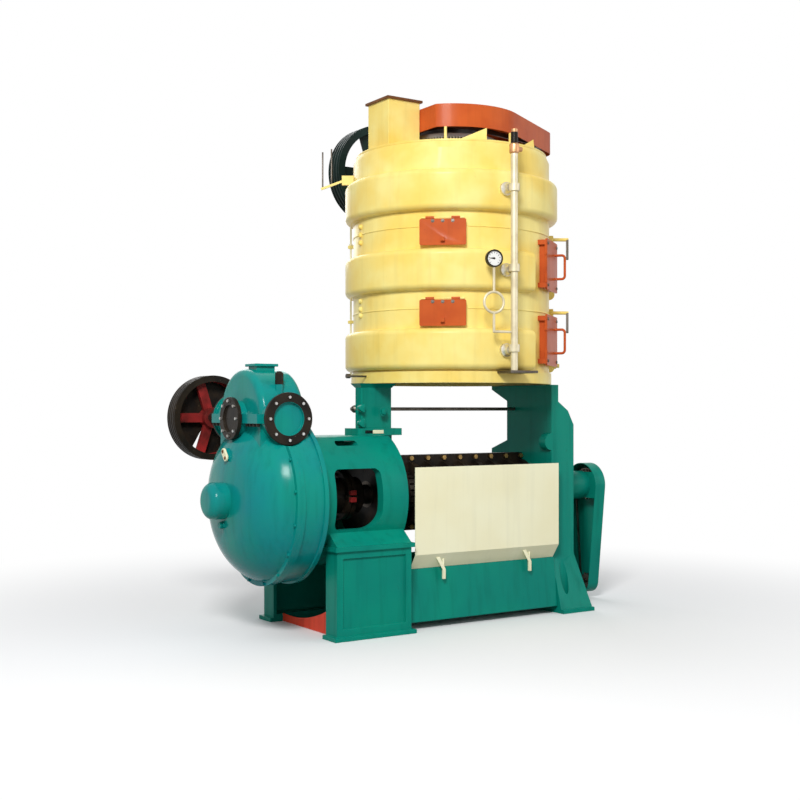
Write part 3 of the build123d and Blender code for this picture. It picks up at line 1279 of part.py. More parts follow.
# Barrel halves: ribs and flanges split down the middle, with a plain ring at the feed
feed_opening_middle = (throat_left + outlet_right) / 2
rib_pitch = (FRAME_LEFT - feed_right - CAGE_RIB) / (CAGE_RIBS - 1)
cage_bolt_height = (CAGE_RIB_RADIUS + CAGE_FLANGE_TOP) / 2
with BuildPart() as cage:
    with BuildSketch(along(DRUM_RIGHT)):
        Circle(CAGE_RIB_RADIUS)
    extrude(amount=FEED_LENGTH)
    for rib in range(CAGE_RIBS):
        with BuildSketch(along(feed_right + rib * rib_pitch)):
            Circle(CAGE_RIB_RADIUS)
        extrude(amount=CAGE_RIB)
    with BuildSketch(along(feed_right)):
        Rectangle(2 * CAGE_FLANGE, 2 * CAGE_FLANGE_TOP)
    extrude(amount=FRAME_LEFT - feed_right)
    with BuildSketch(along(DRUM_RIGHT)):
        Circle(bar_inner)
    extrude(amount=BARREL_LENGTH, mode=Mode.SUBTRACT)
    with BuildSketch(along(feed_right)):
        Circle(cage_bore)
    extrude(amount=BARREL_LENGTH - FEED_LENGTH, mode=Mode.SUBTRACT)
    with BuildSketch(Plane.XY.offset(SHAFT_HEIGHT)):
        with Locations((feed_opening_middle, 0)):
            Rectangle(outlet_right - throat_left, COLUMN_DEPTH - 2 * COLUMN_WALL)
    extrude(amount=CAGE_RIB_RADIUS, mode=Mode.SUBTRACT)
    with BuildSketch(Plane.XZ):
        with GridLocations(rib_pitch, 2 * cage_bolt_height, CAGE_RIBS, 2):
            with Locations(((feed_right + FRAME_LEFT) / 2, SHAFT_HEIGHT)):
                Circle(CAGE_BOLT_RADIUS)
    extrude(amount=CAGE_FLANGE, both=True, mode=Mode.SUBTRACT)
with BuildPart() as cage_front_half:
    add(cage.part)
    split(bisect_by=Plane.XZ, keep=Keep.TOP)
with BuildPart() as cage_rear_half:
    add(cage.part)
    split(bisect_by=Plane.XZ, keep=Keep.BOTTOM)

# Barrel bars, and the bolts through the flanges
with BuildPart() as cage_bars:
    with BuildSketch(along(feed_right)):
        with PolarLocations(bar_inner + BAR_HEIGHT / 2, BAR_COUNT):
            Rectangle(2 * BAR_HEIGHT, bar_width)
        Circle(cage_bore - SLIDE_GAP, mode=Mode.INTERSECT)
        Circle(bar_inner, mode=Mode.SUBTRACT)
    extrude(amount=FRAME_LEFT - feed_right)
with BuildPart() as cage_bolts:
    for side in (-1, 1):
        with BuildSketch(Plane.XZ.offset(side * CAGE_FLANGE)):
            with GridLocations(rib_pitch, 2 * cage_bolt_height, CAGE_RIBS, 2):
                with Locations(((feed_right + FRAME_LEFT) / 2, SHAFT_HEIGHT)):
                    RegularPolygon(CAGE_BOLT_HEAD_RADIUS, 6)
        extrude(amount=side * CAGE_BOLT_HEAD)
    with BuildSketch(Plane.XZ):
        with GridLocations(rib_pitch, 2 * cage_bolt_height, CAGE_RIBS, 2):
            with Locations(((feed_right + FRAME_LEFT) / 2, SHAFT_HEIGHT)):
                Circle(CAGE_BOLT_RADIUS)
    extrude(amount=CAGE_FLANGE, both=True)

# Choke ring at the cake end, free to slide in the right frame's bore
choke_outer = cage_bore - SLIDE_GAP
choke_ring = ring(along(FRAME_LEFT + SLIDE_GAP), choke_outer, choke_outer - CHOKE_WALL, CHOKE_LENGTH)

# Splash guard: upright sheet with a folded foot on the bed's edge and two hooks
guard_foot = BED_TOP + SLIDE_GAP
hook_y = -BED_HALF - HOOK_STAND - 2 * HOOK_RADIUS
with BuildPart() as guard_panel:
    with BuildSketch(along(GUARD_LEFT, 0)):
        with BuildLine():
            Polyline(
                (-GUARD_FRONT, GUARD_BOTTOM + GUARD_HEIGHT),
                (-GUARD_FRONT, GUARD_BOTTOM),
                (-BED_HALF, guard_foot),
                (-BED_HALF + GUARD_WALL, guard_foot),
                (-GUARD_FRONT + GUARD_WALL, GUARD_BOTTOM),
                (-GUARD_FRONT + GUARD_WALL, GUARD_BOTTOM + GUARD_HEIGHT),
                close=True,
            )
        make_face()
    extrude(amount=GUARD_LENGTH)
    with BuildSketch(Plane.XY.offset(BED_TOP - HOOK_DROP)):
        with Locations(*[(GUARD_LEFT + share * GUARD_LENGTH, hook_y) for share in HOOK_SHARES]):
            Circle(HOOK_RADIUS)
    extrude(amount=HOOK_DROP + (GUARD_BOTTOM - BED_TOP) / 2 + HOOK_RADIUS)

# Shaft hood beyond the right frame, and the chain case on its end
shaft_hood = ring(along(FRAME_RIGHT), main_bore + HOOD_WALL, main_bore, HOOD_LENGTH)
with BuildPart() as chain_case:
    with BuildSketch(along(HOOD_RIGHT)):
        Circle(CHAIN_CASE_RADIUS)
        with Locations((0, SCREW_HEIGHT - SHAFT_HEIGHT)):
            Circle(CHAIN_CASE_LOWER_RADIUS)
        make_hull()
    extrude(amount=CHAIN_CASE_DEPTH)
    with BuildSketch(along(HOOD_RIGHT)):
        Circle(CHAIN_CASE_RADIUS - CHAIN_CASE_WALL)
        with Locations((0, SCREW_HEIGHT - SHAFT_HEIGHT)):
            Circle(CHAIN_CASE_LOWER_RADIUS - CHAIN_CASE_WALL)
        make_hull()
    extrude(amount=CHAIN_CASE_DEPTH - CHAIN_CASE_WALL, mode=Mode.SUBTRACT)
    with BuildSketch(along(HOOD_RIGHT)):
        Circle(CHAIN_CASE_RADIUS)
        with Locations((0, SCREW_HEIGHT - SHAFT_HEIGHT)):
            Circle(CHAIN_CASE_LOWER_RADIUS)
        make_hull()
        Rectangle(2 * CHAIN_CASE_RADIUS, 2 * STRAP_HEIGHT, mode=Mode.INTERSECT)
        Circle(main_bore, mode=Mode.SUBTRACT)
    extrude(amount=CHAIN_CASE_WALL)

# Foots screw along the bottom of the oil bed, with its sprocket
screw_bore = SCREW_SHAFT_RADIUS + RUN_GAP + BUSH_WALL
screw_left = LEG_RIGHT + BED_WALL + OVERRUN
flight_start = LEG_RIGHT + BED_WALL + SCREW_END_GAP + 2 * OVERRUN
flight_span = FRAME_LEFT - BED_WALL - SCREW_END_GAP - flight_start
small_sprocket_radius = SPROCKET_RADIUS * SMALL_SPROCKET_TEETH / SPROCKET_TEETH
small_sprocket = toothed_wheel(
    along(sprocket_left, SCREW_HEIGHT),
    SMALL_SPROCKET_TEETH,
    small_sprocket_radius - SPROCKET_TOOTH,
    small_sprocket_radius,
    SPROCKET_THICKNESS,
    SCREW_SHAFT_RADIUS,
)
foots_flight = screw_flight(
    flight_start, SCREW_PITCH, flight_span, SCREW_SHAFT_RADIUS, SCREW_RADIUS, SCREW_FLIGHT, SCREW_HEIGHT
)
with BuildPart() as foots_screw:
    with BuildSketch(along(screw_left, SCREW_HEIGHT)):
        Circle(SCREW_SHAFT_RADIUS)
    extrude(amount=shaft_right - screw_left)
    add(foots_flight.part)
    add(small_sprocket.part)

# Drive chain round the two sprockets
lower_chain = SCREW_HEIGHT - SHAFT_HEIGHT
with BuildPart() as drive_chain:
    with BuildSketch(along(sprocket_left)):
        Circle(SPROCKET_RADIUS + RUN_GAP + CHAIN_THICKNESS)
        with Locations((0, lower_chain)):
            Circle(small_sprocket_radius + RUN_GAP + CHAIN_THICKNESS)
        make_hull()
    extrude(amount=SPROCKET_THICKNESS)
    with BuildSketch(along(sprocket_left)):
        Circle(SPROCKET_RADIUS + RUN_GAP)
        with Locations((0, lower_chain)):
            Circle(small_sprocket_radius + RUN_GAP)
        make_hull()
    extrude(amount=SPROCKET_THICKNESS, mode=Mode.SUBTRACT)

# Bearing rings and bushes, all plain rings seated in the castings
bearings_of_worm = [
    RING_LEFT - HUB_REACH + HUB_END_WALL,
    CASE_INSIDE,
    DRUM_RIGHT - DRUM_END_WALL,
    FRAME_RIGHT - FRAME_WALL,
    HOOD_RIGHT - BEARING_LENGTH,
]
centre_bore = STIRRER_RADIUS + RUN_GAP + BEARING_WALL
lower_deck = COOKER_BASE + DECK_RISE
with BuildPart() as bearings:
    for start in bearings_of_worm:
        add(ring(along(start), main_bore, WORM_SHAFT_RADIUS + RUN_GAP, BEARING_LENGTH).part)
    for start in (cross_face, CASE_INSIDE - LOBE_WALL):
        add(ring(along(start, INPUT_HEIGHT), shaft_bore, INPUT_SHAFT_RADIUS + RUN_GAP, BEARING_LENGTH).part)
    for start in (INPUT_HOUSING_REACH - INPUT_HOUSING_DEPTH, INPUT_HOUSING_REACH - BEARING_LENGTH):
        place = across(start, RING_LEFT, INPUT_HEIGHT)
        add(ring(place, shaft_bore, INPUT_SHAFT_RADIUS + RUN_GAP, BEARING_LENGTH).part)
    for start in (FRAME_LEFT - BED_WALL, FRAME_RIGHT - FRAME_WALL):
        place = along(start, SCREW_HEIGHT)
        add(ring(place, screw_bore, SCREW_SHAFT_RADIUS + RUN_GAP, BEARING_LENGTH).part)
    place = along(LEG_RIGHT + BED_WALL, SCREW_HEIGHT)
    add(ring(place, screw_bore, SCREW_SHAFT_RADIUS + RUN_GAP, SCREW_END_GAP).part)
    for start in (lower_deck + DECK_THICKNESS - BEARING_LENGTH, COOKER_TOP):
        add(ring(level(start), centre_bore, STIRRER_RADIUS + RUN_GAP, BEARING_LENGTH).part)

# Cooker shell: foot ring, drum and narrow shoulder, with all the openings cut
gate_heights = [lower_deck + JACKET_PITCH * deck - GATE_DROP for deck in range(1, DECKS)]
gate_bore = GATE_SHAFT_RADIUS + RUN_GAP
slide_middle = lower_deck - SLIDE_GAP - SLIDE_PLATE / 2
shoulder_base = COOKER_TOP - SHOULDER_HEIGHT
half_section = Plane(origin=(COOKER_X, 0, 0), x_dir=(1, 0, 0), z_dir=(0, -1, 0))
with BuildPart() as cooker_blank:
    with BuildSketch(half_section):
        with BuildLine():
            Polyline(
                (INNER_RADIUS, COOKER_BASE),
                (FOOT_RING_RADIUS, COOKER_BASE),
                (FOOT_RING_RADIUS, COOKER_BASE + FOOT_RING_HEIGHT),
                (COOKER_RADIUS, COOKER_BASE + FOOT_RING_HEIGHT),
                (COOKER_RADIUS, shoulder_base),
                (NECK_RADIUS, COOKER_TOP),
                (NECK_RADIUS - SHELL_WALL, COOKER_TOP),
                (INNER_RADIUS, shoulder_base),
                close=True,
            )
        make_face()
    revolve(axis=cooker_axis)
with BuildPart() as cooker_shell:
    add(cooker_blank.part)
    for height in FRONT_DOOR_HEIGHTS:
        with BuildSketch(radial(FRONT_DOOR_ANGLE, NECK_START, height)):
            Rectangle(FRONT_DOOR_WIDTH, FRONT_DOOR_HEIGHT)
        extrude(amount=JACKET_RADIUS - NECK_START, mode=Mode.SUBTRACT)
    for height in SIDE_DOOR_HEIGHTS:
        with BuildSketch(radial(SIDE_DOOR_ANGLE, NECK_START, height)):
            Rectangle(SIDE_DOOR_WIDTH, SIDE_DOOR_HEIGHT)
        extrude(amount=JACKET_RADIUS - NECK_START, mode=Mode.SUBTRACT)
    for height in gate_heights:
        with BuildSketch(radial(GATE_ANGLE, NECK_START, height)):
            Circle(gate_bore)
        extrude(amount=JACKET_RADIUS - NECK_START, mode=Mode.SUBTRACT)
    with BuildSketch(along(COLUMN_LEFT, slide_middle)):
        Circle(SLIDE_PLATE / 2 + SLIDE_GAP)
    extrude(amount=COLUMN_LENGTH, mode=Mode.SUBTRACT)


# Steam jackets: rounded channels closed by the shell, two of them broken for the side doors
def channel(base, gap_start, gap_end, wall):
    """Round channel on the shell, drawn in by the wall, left open between two angles from the front."""
    start = Plane(
        origin=(COOKER_X, 0, 0),
        x_dir=(sin(radians(gap_end)), -cos(radians(gap_end)), 0),
        z_dir=(-cos(radians(gap_end)), -sin(radians(gap_end)), 0),
    )
    thickness = JACKET_RADIUS - COOKER_RADIUS - wall
    middle = (COOKER_RADIUS + thickness / 2, base + JACKET_HEIGHT / 2)
    with BuildPart() as swept:
        with BuildSketch(start) as profile:
            with Locations(middle):
                Rectangle(thickness, JACKET_HEIGHT - 2 * wall)
            fillet(profile.vertices().group_by(Axis.X)[-1], JACKET_ROUND - wall)
        revolve(axis=cooker_axis, revolution_arc=360 - gap_end + gap_start)
    return swept


def jacket(base, gap_start, gap_end, end_wall):
    """Steam jacket: a channel with the steam space taken out of it."""
    with BuildPart() as hollow:
        add(channel(base, gap_start, gap_end, 0).part)
        add(channel(base, gap_start - end_wall, gap_end + end_wall, JACKET_WALL).part, mode=Mode.SUBTRACT)
    return hollow


jacket_bases = [COOKER_BASE + JACKET_START + JACKET_PITCH * deck for deck in range(DECKS)]
end_angle = degrees(JACKET_WALL / COOKER_RADIUS)
lower_jacket = jacket(jacket_bases[0], JACKET_GAP_START, JACKET_GAP_END, end_angle)
middle_jacket = jacket(jacket_bases[1], JACKET_GAP_START, JACKET_GAP_END, end_angle)
upper_jacket = jacket(jacket_bases[-1], 0, 0, 0)

# Decks: three plates with a centre hole, gate openings and the outlet to the column
gate_centre = (GATE_INNER + GATE_LENGTH / 2, GATE_SIDE + GATE_WIDTH / 2)
with BuildPart() as cooker_decks:
    for deck in range(DECKS):
        underside = lower_deck + JACKET_PITCH * deck
        with BuildSketch(level(underside)):
            Circle(INNER_RADIUS)
            Circle(centre_bore, mode=Mode.SUBTRACT)
        extrude(amount=DECK_THICKNESS)
    for height in gate_heights:
        gate_plane = Plane(
            origin=(COOKER_X, 0, height),
            x_dir=(sin(radians(GATE_ANGLE)), -cos(radians(GATE_ANGLE)), 0),
            z_dir=(0, 0, 1),
        )
        with BuildSketch(gate_plane):
            with Locations(gate_centre):
                Rectangle(GATE_LENGTH, GATE_WIDTH)
        extrude(amount=GATE_DROP + DECK_THICKNESS, mode=Mode.SUBTRACT)
    with BuildSketch(Plane.XY.offset(lower_deck)):
        with Locations(((outlet_left + outlet_right) / 2, 0)):
            Rectangle(OUTLET_LENGTH, COLUMN_DEPTH - 2 * COLUMN_WALL)
    extrude(amount=DECK_THICKNESS, mode=Mode.SUBTRACT)

# Outlet spout under the lowest deck, and the slide that shuts it
spout_top = lower_deck - SLIDE_PLATE - 2 * SLIDE_GAP
outlet_middle = (outlet_left + outlet_right) / 2
with BuildPart() as outlet_spout:
    with BuildSketch(Plane.XY.offset(COOKER_BASE)):
        with Locations((outlet_middle, 0)):
            Rectangle(OUTLET_LENGTH + 2 * COLUMN_WALL, COLUMN_DEPTH)
            Rectangle(OUTLET_LENGTH, COLUMN_DEPTH - 2 * COLUMN_WALL, mode=Mode.SUBTRACT)
    extrude(amount=spout_top - COOKER_BASE)
    add(cooker_blank.part, mode=Mode.SUBTRACT)
slide_left = outlet_left - SLIDE_LAP
with BuildPart() as outlet_slide:
    with BuildSketch(Plane.XY.offset(spout_top + SLIDE_GAP)):
        with Locations((outlet_middle, 0)):
            Rectangle(OUTLET_LENGTH + 2 * SLIDE_LAP, COLUMN_DEPTH)
    extrude(amount=SLIDE_PLATE)
    with BuildSketch(along(slide_left, slide_middle)):
        Circle(SLIDE_PLATE / 2)
    extrude(amount=-SLIDE_ROD_LENGTH)
    with BuildSketch(along(slide_left - SLIDE_ROD_LENGTH, slide_middle)):
        Circle(SLIDE_KNOB_RADIUS)
    extrude(amount=-SLIDE_KNOB_LENGTH)

# Lid with a hole for the chute, and the chute with its brown rim
chute_middle = (CHUTE_LEFT + CHUTE_LENGTH / 2, CHUTE_FRONT + CHUTE_WIDTH / 2)
with BuildPart() as cooker_lid:
    with BuildSketch(level(COOKER_TOP)):
        Circle(NECK_RADIUS)
        Circle(centre_bore, mode=Mode.SUBTRACT)
    extrude(amount=LID_THICKNESS)
    with BuildSketch(Plane.XY.offset(COOKER_TOP)):
        with Locations(chute_middle):
            Rectangle(CHUTE_LENGTH - 2 * CHUTE_WALL, CHUTE_WIDTH - 2 * CHUTE_WALL)
    extrude(amount=LID_THICKNESS, mode=Mode.SUBTRACT)
with BuildPart() as feed_chute:
    with BuildSketch(Plane.XY.offset(LID_TOP)):
        with Locations(chute_middle):
            Rectangle(CHUTE_LENGTH, CHUTE_WIDTH)
    extrude(amount=CHUTE_TOP - LID_TOP)
    with BuildSketch(Plane.XY.offset(CHUTE_TOP)):
        with Locations(chute_middle):
            Rectangle(CHUTE_LENGTH + 2 * CHUTE_LIP, CHUTE_WIDTH + 2 * CHUTE_LIP)
    extrude(amount=CHUTE_LIP)
    with BuildSketch(Plane.XY.offset(LID_TOP)):
        with Locations(chute_middle):
            Rectangle(CHUTE_LENGTH - 2 * CHUTE_WALL, CHUTE_WIDTH - 2 * CHUTE_WALL)
    extrude(amount=CHUTE_TOP - LID_TOP + CHUTE_LIP, mode=Mode.SUBTRACT)

# Stirrer: upright shaft with a pair of arms over each deck
arm_reach = INNER_RADIUS - STIRRER_TIP_CLEARANCE
stirrer_base = lower_deck + DECK_THICKNESS - BEARING_LENGTH - OVERRUN
with BuildPart() as stirrer:
    with BuildSketch(level(stirrer_base)):
        Circle(STIRRER_RADIUS)
    extrude(amount=STIRRER_END - stirrer_base)
    for deck in range(DECKS):
        arm_base = lower_deck + JACKET_PITCH * deck + DECK_THICKNESS + STIRRER_ARM_CLEARANCE
        with BuildSketch(level(arm_base)):
            Circle(STIRRER_HUB_RADIUS)
            Rectangle(2 * arm_reach, STIRRER_ARM)
        extrude(amount=STIRRER_ARM_DEPTH)

# Drive wheels under the cover: crown wheel, and plain chain wheels for the side shaft
wheel_base = COVER_BOTTOM + COVER_HEIGHT / 2 - WHEEL_THICKNESS
crown_blank = crown_wheel(
    level(TOP_SHAFT_HEIGHT), CROWN_TEETH, CROWN_RADIUS, CROWN_PINION_RADIUS, CROWN_MODULE, STIRRER_RADIUS
)
with BuildPart() as crown_gear:
    add(crown_blank.part)
    add(ring(level(wheel_base), CENTRE_WHEEL_RADIUS, STIRRER_RADIUS, WHEEL_THICKNESS).part)
with BuildPart() as side_shaft:
    with BuildSketch(Plane.XY.offset(COOKER_TOP - SIDE_BRACKET_DROP)):
        with Locations((COVER_END_X, 0)):
            Circle(SIDE_SHAFT_RADIUS)
    extrude(amount=wheel_base + WHEEL_THICKNESS - COOKER_TOP + SIDE_BRACKET_DROP)
    with BuildSketch(Plane.XY.offset(wheel_base)):
        with Locations((COVER_END_X, 0)):
            Circle(SIDE_WHEEL_RADIUS)
    extrude(amount=WHEEL_THICKNESS)
    with BuildSketch(Plane.XY.offset(COOKER_TOP + RUN_GAP)):
        with Locations((COVER_END_X, 0)):
            Circle(SIDE_SHAFT_RADIUS + BUSH_WALL)
    extrude(amount=SCREW_END_GAP)
wheel_distance = COVER_END_X - COOKER_X
with BuildPart() as cover_chain:
    with BuildSketch(level(wheel_base)):
        Circle(CENTRE_WHEEL_RADIUS + RUN_GAP + CHAIN_THICKNESS)
        with Locations((wheel_distance, 0)):
            Circle(SIDE_WHEEL_RADIUS + RUN_GAP + CHAIN_THICKNESS)
        make_hull()
    extrude(amount=WHEEL_THICKNESS)
    with BuildSketch(level(wheel_base)):
        Circle(CENTRE_WHEEL_RADIUS + RUN_GAP)
        with Locations((wheel_distance, 0)):
            Circle(SIDE_WHEEL_RADIUS + RUN_GAP)
        make_hull()
    extrude(amount=WHEEL_THICKNESS, mode=Mode.SUBTRACT)

# Top shaft with its pinion, and the big pulley behind the cooker
top_pulley_half = TOP_PULLEY_RADIUS * PULLEY_WIDTH_SHARE / 2
top_pinion = bevel_pinion(
    across(0, COOKER_X, TOP_SHAFT_HEIGHT),
    CROWN_PINION_TEETH,
    CROWN_PINION_RADIUS,
    CROWN_RADIUS,
    CROWN_MODULE,
    CROWN_TURN_SHARE,
)
with BuildPart() as top_shaft:
    add(top_pinion.part)
    with BuildSketch(across(CROWN_RADIUS, COOKER_X, TOP_SHAFT_HEIGHT)):
        Circle(TOP_SHAFT_RADIUS)
    extrude(amount=TOP_PULLEY_Y + top_pulley_half - CROWN_RADIUS)
top_pulley = spoked_pulley(
    across(TOP_PULLEY_Y, COOKER_X, TOP_SHAFT_HEIGHT), TOP_PULLEY_RADIUS, TOP_SHAFT_RADIUS
)

# Gear cover: flat hood over the crown wheel and chain, cut straight beside the chute
cover_side = CHUTE_LEFT + CHUTE_LENGTH + COVER_GAP
with BuildPart() as gear_cover:
    with BuildSketch(level(COVER_BOTTOM)):
        Circle(COVER_RADIUS)
        with Locations((wheel_distance, 0)):
            Circle(COVER_END_RADIUS)
        make_hull()
        with Locations((cover_side - COOKER_X - COVER_RADIUS, 0)):
            Rectangle(2 * COVER_RADIUS, 2 * COVER_RADIUS, mode=Mode.SUBTRACT)
    extrude(amount=COVER_HEIGHT)
    with BuildSketch(level(COVER_BOTTOM)):
        Circle(COVER_RADIUS - COVER_WALL)
        with Locations((wheel_distance, 0)):
            Circle(COVER_END_RADIUS - COVER_WALL)
        make_hull()
        with Locations((cover_side - COOKER_X - COVER_RADIUS + COVER_WALL, 0)):
            Rectangle(2 * COVER_RADIUS, 2 * COVER_RADIUS, mode=Mode.SUBTRACT)
    extrude(amount=COVER_HEIGHT - COVER_WALL, mode=Mode.SUBTRACT)

# Supports on the lid: thin posts, two pillow blocks, and the yellow bracket at the side
with BuildPart() as drive_supports:
    for angle in POST_ANGLES:
        post_x = COOKER_X + (COVER_RADIUS - COVER_WALL / 2) * sin(radians(angle))
        post_y = -(COVER_RADIUS - COVER_WALL / 2) * cos(radians(angle))
        with BuildSketch(Plane.XY.offset(LID_TOP)):
            with Locations((post_x, post_y)):
                Circle(COVER_POST_RADIUS)
        extrude(amount=COVER_BOTTOM - LID_TOP)
    for share in PILLOW_SHARES:
        with BuildSketch(Plane.XY.offset(LID_TOP)):
            with Locations((COOKER_X, share * NECK_RADIUS)):
                Rectangle(PILLOW_WIDTH, PILLOW_LENGTH)
        extrude(amount=TOP_SHAFT_HEIGHT + TOP_SHAFT_RADIUS + PILLOW_CAP - LID_TOP)
    with BuildSketch(across(0, COOKER_X, TOP_SHAFT_HEIGHT)):
        Circle(TOP_SHAFT_RADIUS + RUN_GAP)
    extrude(amount=NECK_RADIUS, mode=Mode.SUBTRACT)
bracket_end = COVER_END_X + SIDE_BRACKET_MARGIN
with BuildPart() as side_bracket:
    with BuildSketch(Plane.XZ.offset(SIDE_BRACKET_WIDTH / 2)):
        with BuildLine():
            Polyline(
                (COOKER_X + INNER_RADIUS, COOKER_TOP),
                (bracket_end, COOKER_TOP),
                (bracket_end, COOKER_TOP - SIDE_BRACKET_EDGE),
                (COOKER_X + COOKER_RADIUS, COOKER_TOP - SIDE_BRACKET_DROP),
                (COOKER_X + INNER_RADIUS, COOKER_TOP - SIDE_BRACKET_DROP),
                close=True,
            )
        make_face()
    extrude(amount=-SIDE_BRACKET_WIDTH)
    add(cooker_blank.part, mode=Mode.SUBTRACT)
    with BuildSketch(Plane.XY.offset(COOKER_TOP - SIDE_BRACKET_DROP)):
        with Locations((COVER_END_X, 0)):
            Circle(SIDE_SHAFT_RADIUS + RUN_GAP)
    extrude(amount=SIDE_BRACKET_DROP, mode=Mode.SUBTRACT)


# Doors: box necks through the shell, leaves with knuckles, and pins held in lugs
def front_pin(height):
    """Plane at the left end of a front door's pin, facing along the pin."""
    edge = FRONT_DOOR_HEIGHT / 2 + DOOR_LIP + KNUCKLE_RADIUS - HINGE_SINK
    reach = COOKER_RADIUS + FRONT_NECK_REACH + SLIDE_GAP + DOOR_THICKNESS / 2
    face = radial(FRONT_DOOR_ANGLE, reach, height + edge)
    return Plane(origin=face.origin - face.x_dir * FRONT_DOOR_WIDTH / 2, x_dir=face.z_dir, z_dir=face.x_dir)


def side_pin(height):
    """Plane at the lower end of a side door's pin, facing along the pin."""
    edge = SIDE_DOOR_WIDTH / 2 + DOOR_LIP + KNUCKLE_RADIUS - HINGE_SINK
    reach = COOKER_RADIUS + SIDE_NECK_REACH + SLIDE_GAP + DOOR_THICKNESS / 2
    face = radial(SIDE_DOOR_ANGLE, reach, height - SIDE_DOOR_HEIGHT / 2)
    return Plane(origin=face.origin - face.x_dir * edge, x_dir=face.z_dir, z_dir=(0, 0, 1))


def door_neck(angle, height, width, tall, reach):
    """Box neck standing through the shell round one opening."""
    with BuildPart() as neck:
        with BuildSketch(radial(angle, NECK_START, height)):
            Rectangle(width, tall)
            Rectangle(width - 2 * NECK_WALL, tall - 2 * NECK_WALL, mode=Mode.SUBTRACT)
        extrude(amount=COOKER_RADIUS + reach - NECK_START)
    return neck


def pin_lugs(pin, length, reach):
    """Hinge pin with a lug at each end; the lugs run back to the shell's round face."""
    lug = length * KNUCKLE_SHARE / 2
    lug_reach = reach + COOKER_RADIUS - NECK_START
    with BuildPart() as lugs:
        for start in (0, length - lug):
            with BuildSketch(pin.offset(start)):
                Circle(HINGE_LUG_RADIUS)
                with Locations((-lug_reach / 2, 0)):
                    Rectangle(lug_reach, 2 * HINGE_LUG_RADIUS)
            extrude(amount=lug)
        with BuildSketch(pin):
            Circle(HINGE_PIN_RADIUS)
        extrude(amount=length)
        with BuildSketch(level(COOKER_BASE)):
            Circle(COOKER_RADIUS)
        extrude(amount=COOKER_HEIGHT, mode=Mode.SUBTRACT)
    return lugs


def door_leaf(angle, height, width, tall, reach, pin, length):
    """Door leaf with two knuckles on its pin."""
    lug = length * KNUCKLE_SHARE / 2
    with BuildPart() as leaf:
        with BuildSketch(radial(angle, COOKER_RADIUS + reach + SLIDE_GAP, height)):
            RectangleRounded(width + 2 * DOOR_LIP, tall + 2 * DOOR_LIP, DOOR_LIP)
        extrude(amount=DOOR_THICKNESS)
        for start in (lug + SLIDE_GAP, length - 3 * lug):
            with BuildSketch(pin.offset(start)):
                Circle(KNUCKLE_RADIUS)
            extrude(amount=2 * lug - SLIDE_GAP)
        with BuildSketch(pin):
            Circle(HINGE_PIN_RADIUS + RUN_GAP)
        extrude(amount=length, mode=Mode.SUBTRACT)
    return leaf


def front_door(height):
    """Front door: leaf, and a latch block at its lower edge."""
    leaf = door_leaf(
        FRONT_DOOR_ANGLE,
        height,
        FRONT_DOOR_WIDTH,
        FRONT_DOOR_HEIGHT,
        FRONT_NECK_REACH,
        front_pin(height),
        FRONT_DOOR_WIDTH,
    )
    latch_height = height - FRONT_DOOR_HEIGHT / 2 + LATCH_SIZE
    latch_reach = COOKER_RADIUS + FRONT_NECK_REACH + SLIDE_GAP + DOOR_THICKNESS
    with BuildPart() as door:
        add(leaf.part)
        with BuildSketch(radial(FRONT_DOOR_ANGLE, latch_reach, latch_height)):
            Rectangle(LATCH_SIZE, LATCH_SIZE)
        extrude(amount=LATCH_SIZE)
    return door


def side_door(height):
    """Side door: leaf with an upright bail handle."""
    leaf = door_leaf(
        SIDE_DOOR_ANGLE,
        height,
        SIDE_DOOR_WIDTH,
        SIDE_DOOR_HEIGHT,
        SIDE_NECK_REACH,
        side_pin(height),
        SIDE_DOOR_HEIGHT,
    )
    face = radial(SIDE_DOOR_ANGLE, COOKER_RADIUS + SIDE_NECK_REACH + DOOR_THICKNESS, height)
    place = face.origin + face.x_dir * BAIL_OFFSET
    bail_plane = Plane(origin=place, x_dir=face.z_dir, z_dir=-face.x_dir)
    half = BAIL_HEIGHT / 2
    with BuildPart() as door:
        add(leaf.part)
        with BuildLine(bail_plane):
            FilletPolyline((0, -half), (BAIL_REACH, -half), (BAIL_REACH, half), (0, half), radius=BAIL_BEND)
        with BuildSketch(Plane(origin=place - Vector(0, 0, half), x_dir=face.x_dir, z_dir=face.z_dir)):
            Circle(BAIL_RADIUS)
        sweep()
    return door


lower_front_door = front_door(FRONT_DOOR_HEIGHTS[0])
upper_front_door = front_door(FRONT_DOOR_HEIGHTS[1])
lower_side_door = side_door(SIDE_DOOR_HEIGHTS[0])
upper_side_door = side_door(SIDE_DOOR_HEIGHTS[1])
with BuildPart() as door_frames:
    for height in FRONT_DOOR_HEIGHTS:
        add(pin_lugs(front_pin(height), FRONT_DOOR_WIDTH, FRONT_NECK_REACH).part)
        add(door_neck(FRONT_DOOR_ANGLE, height, FRONT_DOOR_WIDTH, FRONT_DOOR_HEIGHT, FRONT_NECK_REACH).part)
    for height in SIDE_DOOR_HEIGHTS:
        add(pin_lugs(side_pin(height), SIDE_DOOR_HEIGHT, SIDE_NECK_REACH).part)
        add(door_neck(SIDE_DOOR_ANGLE, height, SIDE_DOOR_WIDTH, SIDE_DOOR_HEIGHT, SIDE_NECK_REACH).part)

